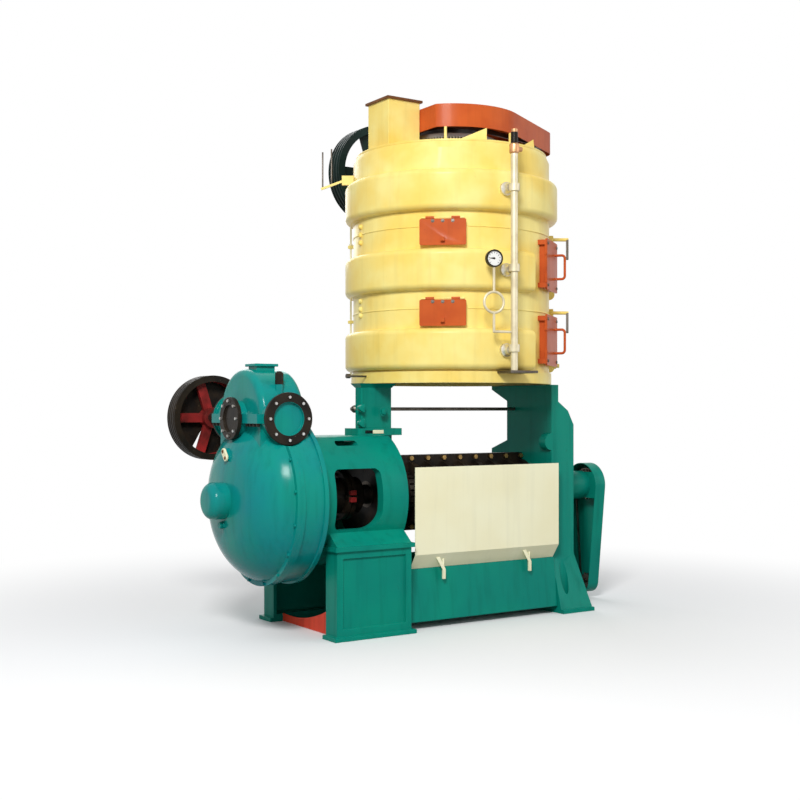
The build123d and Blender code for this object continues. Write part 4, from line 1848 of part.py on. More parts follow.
# Steam pipe beside the jackets, with a stub and a nut into each of them
steam_reach = JACKET_RADIUS + STEAM_OFFSET
with BuildPart() as steam_pipe:
    for base in jacket_bases:
        union_height = base + JACKET_HEIGHT / 2
        with BuildSketch(radial(STEAM_ANGLE, COOKER_RADIUS, union_height)):
            Circle(UNION_STUB_RADIUS)
        extrude(amount=steam_reach - COOKER_RADIUS)
        nut_reach = JACKET_RADIUS + STEAM_OFFSET / 2 - UNION_NUT_LENGTH
        with BuildSketch(radial(STEAM_ANGLE, nut_reach, union_height)):
            RegularPolygon(UNION_NUT_RADIUS, 6)
        extrude(amount=UNION_NUT_LENGTH)
    with BuildSketch(level(COOKER_BASE)):
        Circle(JACKET_RADIUS)
    extrude(amount=COOKER_HEIGHT, mode=Mode.SUBTRACT)
    for base in jacket_bases:
        union_base = base + (JACKET_HEIGHT - UNION_LENGTH) / 2
        with BuildSketch(Plane(origin=radial(STEAM_ANGLE, steam_reach, union_base).origin)):
            Circle(UNION_RADIUS)
        extrude(amount=UNION_LENGTH)
    with BuildSketch(Plane(origin=radial(STEAM_ANGLE, steam_reach, STEAM_BOTTOM).origin)):
        Circle(STEAM_RADIUS)
    extrude(amount=STEAM_TOP - STEAM_BOTTOM)
    with BuildSketch(Plane(origin=radial(STEAM_ANGLE, steam_reach, STEAM_BOTTOM).origin)):
        Circle(STEAM_RADIUS - STEAM_WALL)
    extrude(amount=STEAM_TOP - STEAM_BOTTOM, mode=Mode.SUBTRACT)

# Safety valve on the pipe's top: copper body with a side nozzle, black bonnet
with BuildPart() as safety_valve:
    with BuildSketch(Plane(origin=radial(STEAM_ANGLE, steam_reach, STEAM_TOP).origin)):
        Circle(VALVE_BODY_RADIUS)
    extrude(amount=VALVE_BODY_HEIGHT)
    chamfer(safety_valve.edges().filter_by(GeomType.CIRCLE), VALVE_BODY_RADIUS / 4)
    with BuildSketch(Plane(origin=radial(STEAM_ANGLE, steam_reach, STEAM_TOP + VALVE_BODY_HEIGHT).origin)):
        Circle(VALVE_BONNET_RADIUS)
    extrude(amount=VALVE_BONNET_HEIGHT)
    valve_middle = radial(STEAM_ANGLE, steam_reach, STEAM_TOP + VALVE_BODY_HEIGHT / 2).origin
    with BuildSketch(Plane(origin=valve_middle, x_dir=(0, 1, 0), z_dir=(1, 0, 0))):
        Circle(VALVE_NOZZLE_RADIUS)
    extrude(amount=VALVE_NOZZLE_LENGTH)

# Pressure gauge with its needle, on a looped siphon from the steam pipe
gauge_face = radial(GAUGE_ANGLE, steam_reach - GAUGE_DEPTH / 2, GAUGE_HEIGHT)
siphon_entry = radial(GAUGE_ANGLE, steam_reach, SIPHON_ENTRY)
pipe_side = radial(STEAM_ANGLE, steam_reach, SIPHON_ENTRY)
entry_way = siphon_entry.origin - pipe_side.origin
loop_centre = radial(GAUGE_ANGLE, steam_reach, SIPHON_HEIGHT)
needle_plane = gauge_face.offset(GAUGE_DEPTH - GAUGE_RECESS)
with BuildPart() as pressure_gauge:
    with BuildSketch(gauge_face):
        Circle(GAUGE_RADIUS)
    extrude(amount=GAUGE_DEPTH)
    with BuildSketch(needle_plane):
        Circle(GAUGE_RADIUS - GAUGE_RIM)
    extrude(amount=GAUGE_RECESS, mode=Mode.SUBTRACT)
    with BuildSketch(needle_plane):
        Circle(NEEDLE_HUB_RADIUS)
        with Locations((-NEEDLE_LENGTH / 2, 0)):
            Rectangle(NEEDLE_LENGTH, NEEDLE_WIDTH)
    extrude(amount=NEEDLE_THICKNESS)
    with BuildSketch(Plane(origin=siphon_entry.origin)):
        Circle(SIPHON_TUBE)
    extrude(amount=SIPHON_HEIGHT - SIPHON_RADIUS - SIPHON_ENTRY)
    with BuildSketch(Plane(origin=radial(GAUGE_ANGLE, steam_reach, SIPHON_HEIGHT + SIPHON_RADIUS).origin)):
        Circle(SIPHON_TUBE)
    extrude(amount=GAUGE_HEIGHT - GAUGE_RADIUS - SIPHON_HEIGHT - SIPHON_RADIUS + SIPHON_TUBE)
    with Locations(loop_centre):
        Torus(SIPHON_RADIUS, SIPHON_TUBE)
    with Locations(siphon_entry):
        Sphere(SIPHON_TUBE)
    with BuildSketch(Plane(origin=pipe_side.origin, z_dir=entry_way)):
        Circle(SIPHON_TUBE)
    extrude(amount=entry_way.length)
    with BuildSketch(Plane(origin=pipe_side.origin - Vector(0, 0, SIPHON_RADIUS))):
        Circle(STEAM_RADIUS)
    extrude(amount=2 * SIPHON_RADIUS, mode=Mode.SUBTRACT)


# Deck gates: a flap on a radial shaft, worked by a drop arm outside the shell
def deck_gate(height):
    """One gate: shaft, two side arms, flap under the deck, and the outside drop arm."""
    inner = radial(GATE_ANGLE, GATE_INNER - GATE_LAP, height)
    flap_rise = GATE_DROP - SLIDE_GAP - GATE_PLATE
    flap_length = GATE_LENGTH + 2 * GATE_LAP
    arm_end = COOKER_RADIUS + GATE_SHAFT_REACH
    arm_length = GATE_ARM_LENGTH + 2 * GATE_SHAFT_RADIUS
    with BuildPart() as gate:
        with BuildSketch(inner):
            Circle(GATE_SHAFT_RADIUS)
        extrude(amount=arm_end - GATE_INNER + GATE_LAP)
        with BuildSketch(inner):
            with Locations((gate_centre[1], flap_rise + GATE_PLATE / 2)):
                Rectangle(GATE_WIDTH + 2 * GATE_LAP, GATE_PLATE)
        extrude(amount=flap_length)
        for start in (0, flap_length - GATE_PLATE):
            with BuildSketch(inner.offset(start)):
                with BuildLine():
                    Polyline(
                        (-GATE_SHAFT_RADIUS, 0),
                        (GATE_SHAFT_RADIUS, -GATE_SHAFT_RADIUS),
                        (gate_centre[1], flap_rise),
                        (GATE_SIDE, flap_rise),
                        close=True,
                    )
                make_face()
            extrude(amount=GATE_PLATE)
        with BuildSketch(radial(GATE_ANGLE, arm_end - GATE_ARM_WIDTH, height)):
            with Locations((0, -GATE_ARM_LENGTH / 2)):
                SlotOverall(arm_length, 2 * GATE_SHAFT_RADIUS, rotation=QUARTER_TURN)
        extrude(amount=GATE_ARM_WIDTH)
    return gate


lower_gate = deck_gate(gate_heights[0])
upper_gate = deck_gate(gate_heights[1])

# Level lever at the back left: a sloping arm on a pin, carrying two upright rods
level_reach = COOKER_RADIUS + LEVEL_PIVOT_OFFSET
level_face = radial(LEVEL_ANGLE, level_reach, LEVEL_PIVOT_HEIGHT)
lever_side = Plane(origin=level_face.origin, x_dir=level_face.z_dir, z_dir=-level_face.x_dir)
arm_tilt = radians(LEVEL_SLOPE)
arm_middle = (LEVEL_ARM_OUT - LEVEL_ARM_IN) / 2
with BuildPart() as level_lever:
    with BuildSketch(lever_side.offset(-LEVEL_ARM / 2)):
        tilted = Location((arm_middle * cos(arm_tilt), -arm_middle * sin(arm_tilt), 0), -LEVEL_SLOPE)
        with Locations(tilted):
            Rectangle(LEVEL_ARM_OUT + LEVEL_ARM_IN, LEVEL_ARM)
        Circle(LEVEL_ARM)
        Circle(LEVEL_PIN_RADIUS + RUN_GAP, mode=Mode.SUBTRACT)
    extrude(amount=LEVEL_ARM)
    for share in LEVEL_ROD_SHARES:
        rod_reach = level_reach + share * LEVEL_ARM_OUT * cos(arm_tilt)
        rod_base = LEVEL_PIVOT_HEIGHT - share * LEVEL_ARM_OUT * sin(arm_tilt)
        with BuildSketch(Plane(origin=radial(LEVEL_ANGLE, rod_reach, rod_base).origin)):
            Circle(LEVEL_ROD_RADIUS)
        extrude(amount=LEVEL_ROD_HEIGHT)

# Link rod sliding in two guides, resting on a collar
link_reach = COOKER_RADIUS + LINK_OFFSET
collar_base = GUIDE_HEIGHTS[1] + GUIDE_THICKNESS / 2 + SLIDE_GAP
with BuildPart() as link_rod:
    with BuildSketch(Plane(origin=radial(LINK_ANGLE, link_reach, LINK_BOTTOM).origin)):
        Circle(LINK_RADIUS)
    extrude(amount=LINK_TOP - LINK_BOTTOM)
    with BuildSketch(Plane(origin=radial(LINK_ANGLE, link_reach, collar_base).origin)):
        Circle(2 * LINK_RADIUS)
    extrude(amount=GUIDE_THICKNESS / 2)

# Small fittings on the vessel: gate bosses, cock, guides, lever bracket, shelf and spout
with BuildPart() as vessel_fittings:
    for height in gate_heights:
        with BuildSketch(radial(GATE_ANGLE, INNER_RADIUS, height)):
            Circle(GATE_BOSS_RADIUS)
            Circle(gate_bore, mode=Mode.SUBTRACT)
        extrude(amount=SHELL_WALL + GATE_BOSS_LENGTH)
    with BuildSketch(radial(GATE_ANGLE, INNER_RADIUS, COCK_HEIGHT)):
        Circle(COCK_RADIUS)
    extrude(amount=SHELL_WALL + COCK_REACH)
    with BuildSketch(radial(GATE_ANGLE, COOKER_RADIUS + COCK_REACH / 2, COCK_HEIGHT)):
        Rectangle(3 * COCK_RADIUS, 3 * COCK_RADIUS)
    extrude(amount=COCK_RADIUS)
    for height in GUIDE_HEIGHTS:
        guide = radial(LINK_ANGLE, link_reach, height - GUIDE_THICKNESS / 2)
        with BuildSketch(Plane(origin=guide.origin, x_dir=guide.z_dir)):
            with Locations((-LINK_OFFSET / 2, 0)):
                Rectangle(LINK_OFFSET + GUIDE_WIDTH, GUIDE_WIDTH)
            Circle(LINK_RADIUS + SLIDE_GAP, mode=Mode.SUBTRACT)
        extrude(amount=GUIDE_THICKNESS)
    for start in (-LEVEL_ARM / 2 - SLIDE_GAP - LEVEL_CHEEK, LEVEL_ARM / 2 + SLIDE_GAP):
        with BuildSketch(lever_side.offset(start)):
            with Locations((-LEVEL_PIVOT_OFFSET / 2, 0)):
                Rectangle(LEVEL_PIVOT_OFFSET + LEVEL_CHEEK_HEIGHT / 2, LEVEL_CHEEK_HEIGHT)
        extrude(amount=LEVEL_CHEEK)
    with BuildSketch(lever_side.offset(-LEVEL_ARM / 2 - SLIDE_GAP - LEVEL_CHEEK)):
        Circle(LEVEL_PIN_RADIUS)
    extrude(amount=LEVEL_ARM + 2 * SLIDE_GAP + 2 * LEVEL_CHEEK)
    shelf = radial(STEAM_ANGLE, COOKER_RADIUS, STEAM_BOTTOM - SHELF_THICKNESS)
    with BuildSketch(Plane(origin=shelf.origin, x_dir=shelf.z_dir)):
        with Locations(((SHELF_REACH - COOKER_RADIUS) / 2, SHELF_OFFSET)):
            Rectangle(SHELF_REACH - COOKER_RADIUS, SHELF_LENGTH)
    extrude(amount=SHELF_THICKNESS)
    add(cooker_blank.part, mode=Mode.SUBTRACT)
    with BuildSketch(level(COOKER_BASE)):
        Circle(INNER_RADIUS)
    extrude(amount=COOKER_HEIGHT, mode=Mode.SUBTRACT)
    add(outlet_spout.part)


# Small pieces of one kind that share a file
def together(*pieces):
    """Several pieces kept as one part."""
    with BuildPart() as merged:
        for piece in pieces:
            add(piece.part)
    return merged


bearing_housings = together(front_housing, rear_housing, cross_housing, front_cap, rear_cap, cross_cap)
gearbox_fittings = together(inspection_cover, sight_glass, drain_plug, oil_cup)
drive_chains = together(drive_chain, cover_chain)
lid_supports = together(drive_supports, side_bracket)
anchored_rod = together(tie_rod, tie_rod_nut)
geared_cross_shaft = together(cross_shaft, bevel_gear)

nodes = {
    "left_frame": left_frame,
    "front_leg": front_leg,
    "rear_leg": rear_leg,
    "stand_web": stand_web,
    "feed_column": feed_column,
    "tie_rod": anchored_rod,
    "right_frame": right_frame,
    "oil_bed": oil_bed,
    "gearbox_case": gearbox_case,
    "gearbox_end_cover": gearbox_end_cover,
    "gearbox_upper_cover": gearbox_upper_cover,
    "bearing_housings": bearing_housings,
    "gearbox_bolts": gearbox_bolts,
    "gearbox_fittings": gearbox_fittings,
    "bearings": bearings,
    "cage_front_half": cage_front_half,
    "cage_rear_half": cage_rear_half,
    "cage_bars": cage_bars,
    "cage_bolts": cage_bolts,
    "shaft_hood": shaft_hood,
    "chain_case": chain_case,
    "drive_chains": drive_chains,
    "cooker_shell": cooker_shell,
    "lower_jacket": lower_jacket,
    "middle_jacket": middle_jacket,
    "upper_jacket": upper_jacket,
    "cooker_decks": cooker_decks,
    "cooker_lid": cooker_lid,
    "feed_chute": feed_chute,
    "gear_cover": gear_cover,
    "lid_supports": lid_supports,
    "door_frames": door_frames,
    "steam_pipe": steam_pipe,
    "safety_valve": safety_valve,
    "pressure_gauge": pressure_gauge,
    "vessel_fittings": vessel_fittings,
    "main_shaft": main_shaft,
    "main_gear": main_gear,
    "worms": worms,
    "shaft_coupling": shaft_coupling,
    "cross_shaft": geared_cross_shaft,
    "input_shaft": input_shaft,
    "input_pulley": input_pulley,
    "foots_screw": foots_screw,
    "stirrer": stirrer,
    "crown_gear": crown_gear,
    "top_shaft": top_shaft,
    "top_pulley": top_pulley,
    "side_shaft": side_shaft,
    "choke_ring": choke_ring,
    "guard_panel": guard_panel,
    "lower_front_door": lower_front_door,
    "upper_front_door": upper_front_door,
    "lower_side_door": lower_side_door,
    "upper_side_door": upper_side_door,
    "lower_gate": lower_gate,
    "upper_gate": upper_gate,
    "level_lever": level_lever,
    "link_rod": link_rod,
    "outlet_slide": outlet_slide,
}
os.makedirs("parts", exist_ok=True)
for name, piece in nodes.items():
    piece.part.label = name
    export_step(piece.part, f"parts/{name}.step")
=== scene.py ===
import json
import math

import bmesh
import bpy
import numpy as np
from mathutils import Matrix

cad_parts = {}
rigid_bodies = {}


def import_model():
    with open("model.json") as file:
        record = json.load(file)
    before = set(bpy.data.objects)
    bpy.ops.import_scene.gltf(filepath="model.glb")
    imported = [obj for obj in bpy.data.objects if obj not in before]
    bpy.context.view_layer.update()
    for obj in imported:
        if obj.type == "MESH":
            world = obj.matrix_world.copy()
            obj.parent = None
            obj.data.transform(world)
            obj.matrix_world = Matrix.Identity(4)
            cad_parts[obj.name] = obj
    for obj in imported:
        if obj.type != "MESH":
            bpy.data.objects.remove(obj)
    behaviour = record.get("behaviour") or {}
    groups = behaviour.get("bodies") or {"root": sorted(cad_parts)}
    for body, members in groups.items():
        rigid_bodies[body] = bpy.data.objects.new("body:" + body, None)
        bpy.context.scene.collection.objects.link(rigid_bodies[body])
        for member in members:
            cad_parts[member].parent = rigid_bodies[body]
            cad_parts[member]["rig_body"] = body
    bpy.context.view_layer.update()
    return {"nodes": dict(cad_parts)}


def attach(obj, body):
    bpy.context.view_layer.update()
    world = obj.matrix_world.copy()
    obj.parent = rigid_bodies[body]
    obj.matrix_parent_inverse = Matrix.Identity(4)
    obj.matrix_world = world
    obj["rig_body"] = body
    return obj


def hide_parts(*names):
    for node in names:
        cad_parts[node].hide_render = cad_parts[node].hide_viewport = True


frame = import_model()

# Camera: it stands in front of the press and to its left, at chest height, and looks level
# towards it, with a small shift for the framing.
camera_data = bpy.data.cameras.new("camera")
camera_data.lens = 54.09
camera_data.sensor_width = 36.0
camera_data.shift_y = 0.01125
camera_data.clip_end = 200.0
camera = bpy.data.objects.new("camera", camera_data)
camera.location = (-4.3454, -6.336, 1.32)
camera.rotation_euler = (math.radians(90.0), 0.0, math.radians(-33.3))
bpy.context.scene.collection.objects.link(camera)
bpy.context.scene.camera = camera
bpy.context.scene.view_settings.view_transform = "Standard"

# Lamps: a key lamp high on the left, a broad weak one on the right, and a broad one behind
# that lights the far edges. All are square and turned towards the middle of the press.
PRESS_MIDDLE = (0.0, 0.0, 1.3)
LAMPS = (
    ("key_lamp", (-4.6, -5.2, 5.4), 1.8, 450.0),
    ("fill_lamp", (5.2, -5.0, 3.0), 4.0, 70.0),
    ("back_lamp", (1.5, 6.0, 5.0), 4.0, 120.0),
)
for lamp_name, place, size, power in LAMPS:
    lamp_data = bpy.data.lights.new(lamp_name, "AREA")
    lamp_data.size = size
    lamp_data.energy = power
    lamp = bpy.data.objects.new(lamp_name, lamp_data)
    lamp.location = place
    aim = np.array(PRESS_MIDDLE) - np.array(place)
    tilt = math.atan2(math.hypot(aim[0], aim[1]), -aim[2])
    lamp.rotation_euler = (tilt, 0.0, math.atan2(aim[1], aim[0]) - math.pi / 2)
    bpy.context.scene.collection.objects.link(lamp)

# Room and floor: a white room with a pale floor that keeps the shadow near the press and
# melts into the white farther out. What lights the press is a weaker room and a darker floor.
ROOM_LIGHT = 0.5
FLOOR_HALF = 30
FADE_START, FADE_END = 1.6, 4.5
WHITE = (1.0, 1.0, 1.0, 1.0)
FLOOR_LIT, FLOOR_SEEN = (0.4, 0.4, 0.4, 1.0), (0.9, 0.9, 0.9, 1.0)


def add_node(tree, kind, inputs=None, **settings):
    """One shader node with its settings, and its inputs set to values or linked to sockets."""
    node = tree.nodes.new(kind)
    for name, value in settings.items():
        setattr(node, name, value)
    for key, value in (inputs or {}).items():
        if isinstance(value, bpy.types.NodeSocket):
            tree.links.new(value, node.inputs[key])
        else:
            node.inputs[key].default_value = value
    return node


def worked_out(tree, operation, *values):
    """One sum on numbers or sockets, such as a product or the larger of two."""
    return add_node(tree, "ShaderNodeMath", dict(enumerate(values)), operation=operation).outputs[0]


def ramp(tree, value, low, high, **settings):
    """0 up to the low value, 1 from the high one on, and rising between them."""
    limits = {"Value": value, "From Min": low, "From Max": high}
    return add_node(tree, "ShaderNodeMapRange", limits, **settings).outputs[0]


def blend(tree, share, first, second):
    """First colour going over into the second as the share goes from 0 to 1."""
    colours = {0: share, 6: first, 7: second}
    return add_node(tree, "ShaderNodeMix", colours, data_type="RGBA").outputs[2]


def seen_directly(tree):
    """1 for camera, mirror and glass rays, which see the white room, and 0 for the light itself."""
    path = add_node(tree, "ShaderNodeLightPath").outputs
    mirrored = worked_out(tree, "MAXIMUM", path["Is Camera Ray"], path["Is Glossy Ray"])
    return worked_out(tree, "MAXIMUM", mirrored, path["Is Transmission Ray"])


world = bpy.data.worlds.new("white_room")
bpy.context.scene.world = world
world.use_nodes = True
room = world.node_tree
room.nodes.clear()
light_side = add_node(room, "ShaderNodeBackground", {"Color": (0.95, 0.97, 1.0, 1.0), "Strength": ROOM_LIGHT})
seen_side = add_node(room, "ShaderNodeBackground", {"Color": WHITE, "Strength": 1.0})
room_mix = {"Fac": seen_directly(room), 1: light_side.outputs[0], 2: seen_side.outputs[0]}
room_shader = add_node(room, "ShaderNodeMixShader", room_mix)
add_node(room, "ShaderNodeOutputWorld", {"Surface": room_shader.outputs[0]})

floor_material = bpy.data.materials.new("pale_floor")
floor_material.use_nodes = True
floor_tree = floor_material.node_tree
floor_tree.nodes.clear()
floor_place = add_node(floor_tree, "ShaderNodeTexCoord").outputs["Object"]
from_middle = add_node(floor_tree, "ShaderNodeVectorMath", {0: floor_place}, operation="LENGTH")
fade = ramp(floor_tree, from_middle.outputs["Value"], FADE_START, FADE_END, interpolation_type="SMOOTHSTEP")
melt = worked_out(floor_tree, "MULTIPLY", fade, seen_directly(floor_tree))
floor_tone = blend(floor_tree, seen_directly(floor_tree), FLOOR_LIT, FLOOR_SEEN)
floor_matte = add_node(floor_tree, "ShaderNodeBsdfDiffuse", {"Color": floor_tone})
floor_white = add_node(floor_tree, "ShaderNodeEmission", {"Color": WHITE, "Strength": 1.0})
floor_mix = {"Fac": melt, 1: floor_matte.outputs[0], 2: floor_white.outputs[0]}
floor_shader = add_node(floor_tree, "ShaderNodeMixShader", floor_mix)
add_node(floor_tree, "ShaderNodeOutputMaterial", {"Surface": floor_shader.outputs[0]})
floor_mesh = bpy.data.meshes.new("floor")
floor_corners = [(x * FLOOR_HALF, y * FLOOR_HALF, 0) for x, y in ((-1, -1), (1, -1), (1, 1), (-1, 1))]
floor_mesh.from_pydata(floor_corners, [], [(0, 1, 2, 3)])
floor_mesh.materials.append(floor_material)
floor = bpy.data.objects.new("floor", floor_mesh)
bpy.context.scene.collection.objects.link(floor)


# Stand: two box castings with sunk panels carry the gearbox end, and a red pan lies between
# them. The paint is thick enamel on rough castings: it drifts in shade, runs a little
# downwards, and has specks of dirt and chips. The pan's upper edge is cut in a hollow curve.
def effect_group(name, inputs):
    """Node group with named inputs and with outputs for a colour, a roughness and a height: the group, the
    sockets of its inputs, and the place on the object."""
    group = bpy.data.node_groups.new(name, "ShaderNodeTree")
    for socket, default in inputs.items():
        kind = "NodeSocketColor" if isinstance(default, tuple) else "NodeSocketFloat"
        group.interface.new_socket(socket, in_out="INPUT", socket_type=kind).default_value = default
    for socket, kind in (("Color", "Color"), ("Roughness", "Float"), ("Height", "Float")):
        group.interface.new_socket(socket, in_out="OUTPUT", socket_type="NodeSocket" + kind)
    given = add_node(group, "NodeGroupInput").outputs
    return group, given, add_node(group, "ShaderNodeTexCoord").outputs["Object"]


def noise(group, place, scale, detail, roughness=0.5):
    """Cloudy noise over a place, its grains finer as the scale grows."""
    values = {"Vector": place, "Scale": scale, "Detail": detail, "Roughness": roughness}
    return add_node(group, "ShaderNodeTexNoise", values).outputs[0]


def stretched(group, place, scale):
    """The place stretched by a factor on each axis."""
    return add_node(group, "ShaderNodeMapping", {"Vector": place, "Scale": scale}).outputs[0]


def paint_coat():
    """Group: a base colour that drifts to a second one in wide clouds, darker in upright runs, with
    chips in specks. The height is fine and wide swells less the depth of the chips."""
    inputs = {"Base": (0.5, 0.5, 0.5, 1.0), "Drift": (0.4, 0.4, 0.4, 1.0), "Chip": (0.05, 0.05, 0.05, 1.0)}
    inputs.update({"Cloud Scale": 3.0, "Runs": 0.15, "Chips": 0.3, "Gloss Rough": 0.25})
    group, given, place = effect_group("paint_coat", inputs)
    clouds = ramp(group, noise(group, place, given["Cloud Scale"], 3.0), 0.36, 0.66)
    shade = blend(group, clouds, given["Base"], given["Drift"])
    runs = ramp(group, noise(group, stretched(group, place, (14.0, 14.0, 0.9)), 1.6, 4.0), 0.5, 0.75)
    run_share = worked_out(group, "MULTIPLY", runs, given["Runs"])
    darker = blend(group, run_share, shade, (0.0, 0.0, 0.0, 1.0))
    specks = ramp(group, noise(group, place, 38.0, 5.0, 0.62), 0.66, 0.74)
    chip_share = worked_out(group, "MULTIPLY", specks, given["Chips"])
    chipped = blend(group, chip_share, darker, given["Chip"])
    peel = noise(group, place, 150.0, 2.0)
    swell = worked_out(group, "MULTIPLY_ADD", noise(group, place, 17.0, 2.0), 3.0, peel)
    height = worked_out(group, "MULTIPLY_ADD", chip_share, -1.5, swell)
    dull = worked_out(group, "MULTIPLY_ADD", run_share, 0.5, given["Gloss Rough"])
    duller = worked_out(group, "MULTIPLY_ADD", chip_share, 0.4, dull)
    add_node(group, "NodeGroupOutput", {"Color": chipped, "Roughness": duller, "Height": height})
    return group


def dressed(name, group, values, relief, own):
    """Material: a group's colour, roughness and height on the shader, with relief as the height's strength
    and its depth in metres, and with the shader's own values."""
    material = bpy.data.materials.new(name)
    material.use_nodes = True
    tree = material.node_tree
    shader = tree.nodes["Principled BSDF"]
    skin = add_node(tree, "ShaderNodeGroup", node_tree=group)
    for key, value in values.items():
        skin.inputs[key].default_value = (*value, 1.0) if isinstance(value, tuple) else value
    bumps = {"Strength": relief[0], "Distance": relief[1], "Height": skin.outputs["Height"]}
    tree.links.new(skin.outputs["Color"], shader.inputs["Base Color"])
    tree.links.new(skin.outputs["Roughness"], shader.inputs["Roughness"])
    tree.links.new(add_node(tree, "ShaderNodeBump", bumps).outputs[0], shader.inputs["Normal"])
    for key, value in own.items():
        shader.inputs[key].default_value = value
    return material


paint_group = paint_coat()


def enamel(name, base, drift, chip, clouds=3.0, runs=0.15, chips=0.3, rough=0.3, shine=0.07):
    """Painted metal: the paint group under a thin gloss, in relief like brushed paint."""
    values = {"Base": base, "Drift": drift, "Chip": chip}
    values.update({"Cloud Scale": clouds, "Runs": runs, "Chips": chips, "Gloss Rough": rough})
    gloss = {"Coat Weight": 0.03, "Coat Roughness": 0.12, "Specular IOR Level": shine}
    return dressed(name, paint_group, values, (0.35, 0.0006), gloss)


def set_piece(name, mesh, body, finish, nodes):
    """The mesh as an object at the origin in its finish, which rides on a body and stands for CAD nodes."""
    mesh.materials.clear()
    mesh.materials.append(finish)
    made = bpy.data.objects.new(name, mesh)
    bpy.context.scene.collection.objects.link(made)
    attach(made, body)
    if nodes:
        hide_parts(*nodes)
    return made


def keep_parts(shape, chosen):
    """Deletes the loose parts of a skin whose box centres the chosen test turns down."""
    left = set(shape.verts)
    while left:
        part = [left.pop()]
        for vert in part:
            near = {edge.other_vert(vert) for edge in vert.link_edges} & left
            part.extend(near)
            left -= near
        places = np.array([vert.co for vert in part])
        if not chosen(*((places.min(0) + places.max(0)) / 2)):
            bmesh.ops.delete(shape, geom=part, context="VERTS")


CAST_CRISP = math.radians(34.0)


def casting(name, node, finish, ease, chosen=None, stands_for=True):
    """The CAD solid's own skin with its doubles merged and flat faces joined, and its edges sharper than
    CAST_CRISP rounded by the ease. Chosen is a test on x, y, z that picks some of the node's loose parts."""
    source = frame["nodes"][node]
    mesh = bpy.data.meshes.new(name)
    shape = bmesh.new()
    shape.from_mesh(source.data)
    bmesh.ops.remove_doubles(shape, verts=shape.verts, dist=2e-6)
    if chosen:
        keep_parts(shape, chosen)
    bmesh.ops.dissolve_limit(shape, angle_limit=math.radians(0.5), verts=shape.verts, edges=shape.edges)
    shape.to_mesh(mesh)
    shape.free()
    mesh.shade_smooth()
    mesh.set_sharp_from_angle(angle=CAST_CRISP)
    made = set_piece(name, mesh, source["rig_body"], finish, (node,) if stands_for else ())
    if ease:
        bevel = made.modifiers.new("eased_edges", "BEVEL")
        bevel.width = ease
        bevel.segments = 3
        bevel.limit_method = "ANGLE"
        bevel.angle_limit = CAST_CRISP
        bevel.harden_normals = True
    return made


teal_enamel = enamel(
    "teal_enamel", (0.002, 0.255, 0.178), (0.002, 0.215, 0.165), (0.01, 0.07, 0.06), clouds=2.2, runs=0.2
)
red_enamel = enamel(
    "red_enamel", (0.80, 0.080, 0.035), (0.68, 0.060, 0.030), (0.10, 0.02, 0.02), clouds=6.0, runs=0.25
)
casting("front_leg_casting", "front_leg", teal_enamel, 0.006)
casting("rear_leg_casting", "rear_leg", teal_enamel, 0.006)
casting("red_stand_pan", "stand_web", red_enamel, 0.003)


# Left frame: the round casting with a window each side, standing on a flared ledge. It is
# painted outside; inside, within the drum's bore round the main shaft, it is black as painted
# shade for the hollow seen through the windows.
def second_finish(made, finish, chosen, corners=np.all):
    """Another finish for the faces whose corners, all or any, pass the chosen test on arrays x, y, z."""
    made.data.materials.append(finish)
    places = np.array([vert.co for vert in made.data.vertices])
    passed = chosen(*places.T)
    for polygon in made.data.polygons:
        polygon.material_index = int(corners(passed[list(polygon.vertices)]))


SHAFT_Z = 0.793
BORE_START_X = -0.97
BORE_R = 0.3535
# Black for the oily barrel halves; the same black is painted shade in the drum's bore, on the coupling and on
# the pulley's web.
oily_black_and_shade = enamel(
    "oily_black_and_shade", (0.012, 0.010, 0.009), (0.030, 0.020, 0.013), (0.10, 0.07, 0.04),
    clouds=14.0, chips=0.9, rough=0.4,
)
left_frame = casting("left_frame_casting", "left_frame", teal_enamel, 0.006)
second_finish(
    left_frame, oily_black_and_shade, lambda x, y, z: (x > BORE_START_X) & (np.hypot(y, z - SHAFT_Z) < BORE_R)
)


# Feed column and tie rod: the cast column leads down from the cooker to the barrel, with two
# lugs on its left, and a bolt and a small cream plate in front. The rod is a dark steel bar.
def metal_skin():
    """Group: bare metal under an oily darker film in patches. The height is that of fine scratches."""
    inputs = {"Metal": (0.5, 0.5, 0.5, 1.0), "Film": (0.2, 0.15, 0.1, 1.0)}
    inputs.update({"Patch Scale": 8.0, "Film Share": 0.5, "Polish Rough": 0.3})
    group, given, place = effect_group("metal_skin", inputs)
    patches = ramp(group, noise(group, place, given["Patch Scale"], 6.0), 0.42, 0.64)
    film = worked_out(group, "MULTIPLY", patches, given["Film Share"])
    colour = blend(group, film, given["Metal"], given["Film"])
    grain = noise(group, stretched(group, place, (40.0, 40.0, 700.0)), 1.0, 2.0)
    rough = worked_out(group, "MULTIPLY_ADD", grain, 0.16, given["Polish Rough"])
    rougher = worked_out(group, "MULTIPLY_ADD", film, 0.2, rough)
    add_node(group, "NodeGroupOutput", {"Color": colour, "Roughness": rougher, "Height": grain})
    return group


metal_group = metal_skin()


def bare_metal(name, metal, film, patches=8.0, share=0.5, rough=0.3, metallic=1.0):
    """Unpainted metal: the metal group on a metallic shader."""
    values = {"Metal": metal, "Film": film}
    values.update({"Patch Scale": patches, "Film Share": share, "Polish Rough": rough})
    return dressed(name, metal_group, values, (0.2, 0.0002), {"Metallic": metallic})


def unit(vector):
    """The vector at length one."""
    return np.asarray(vector, float) / np.linalg.norm(vector)


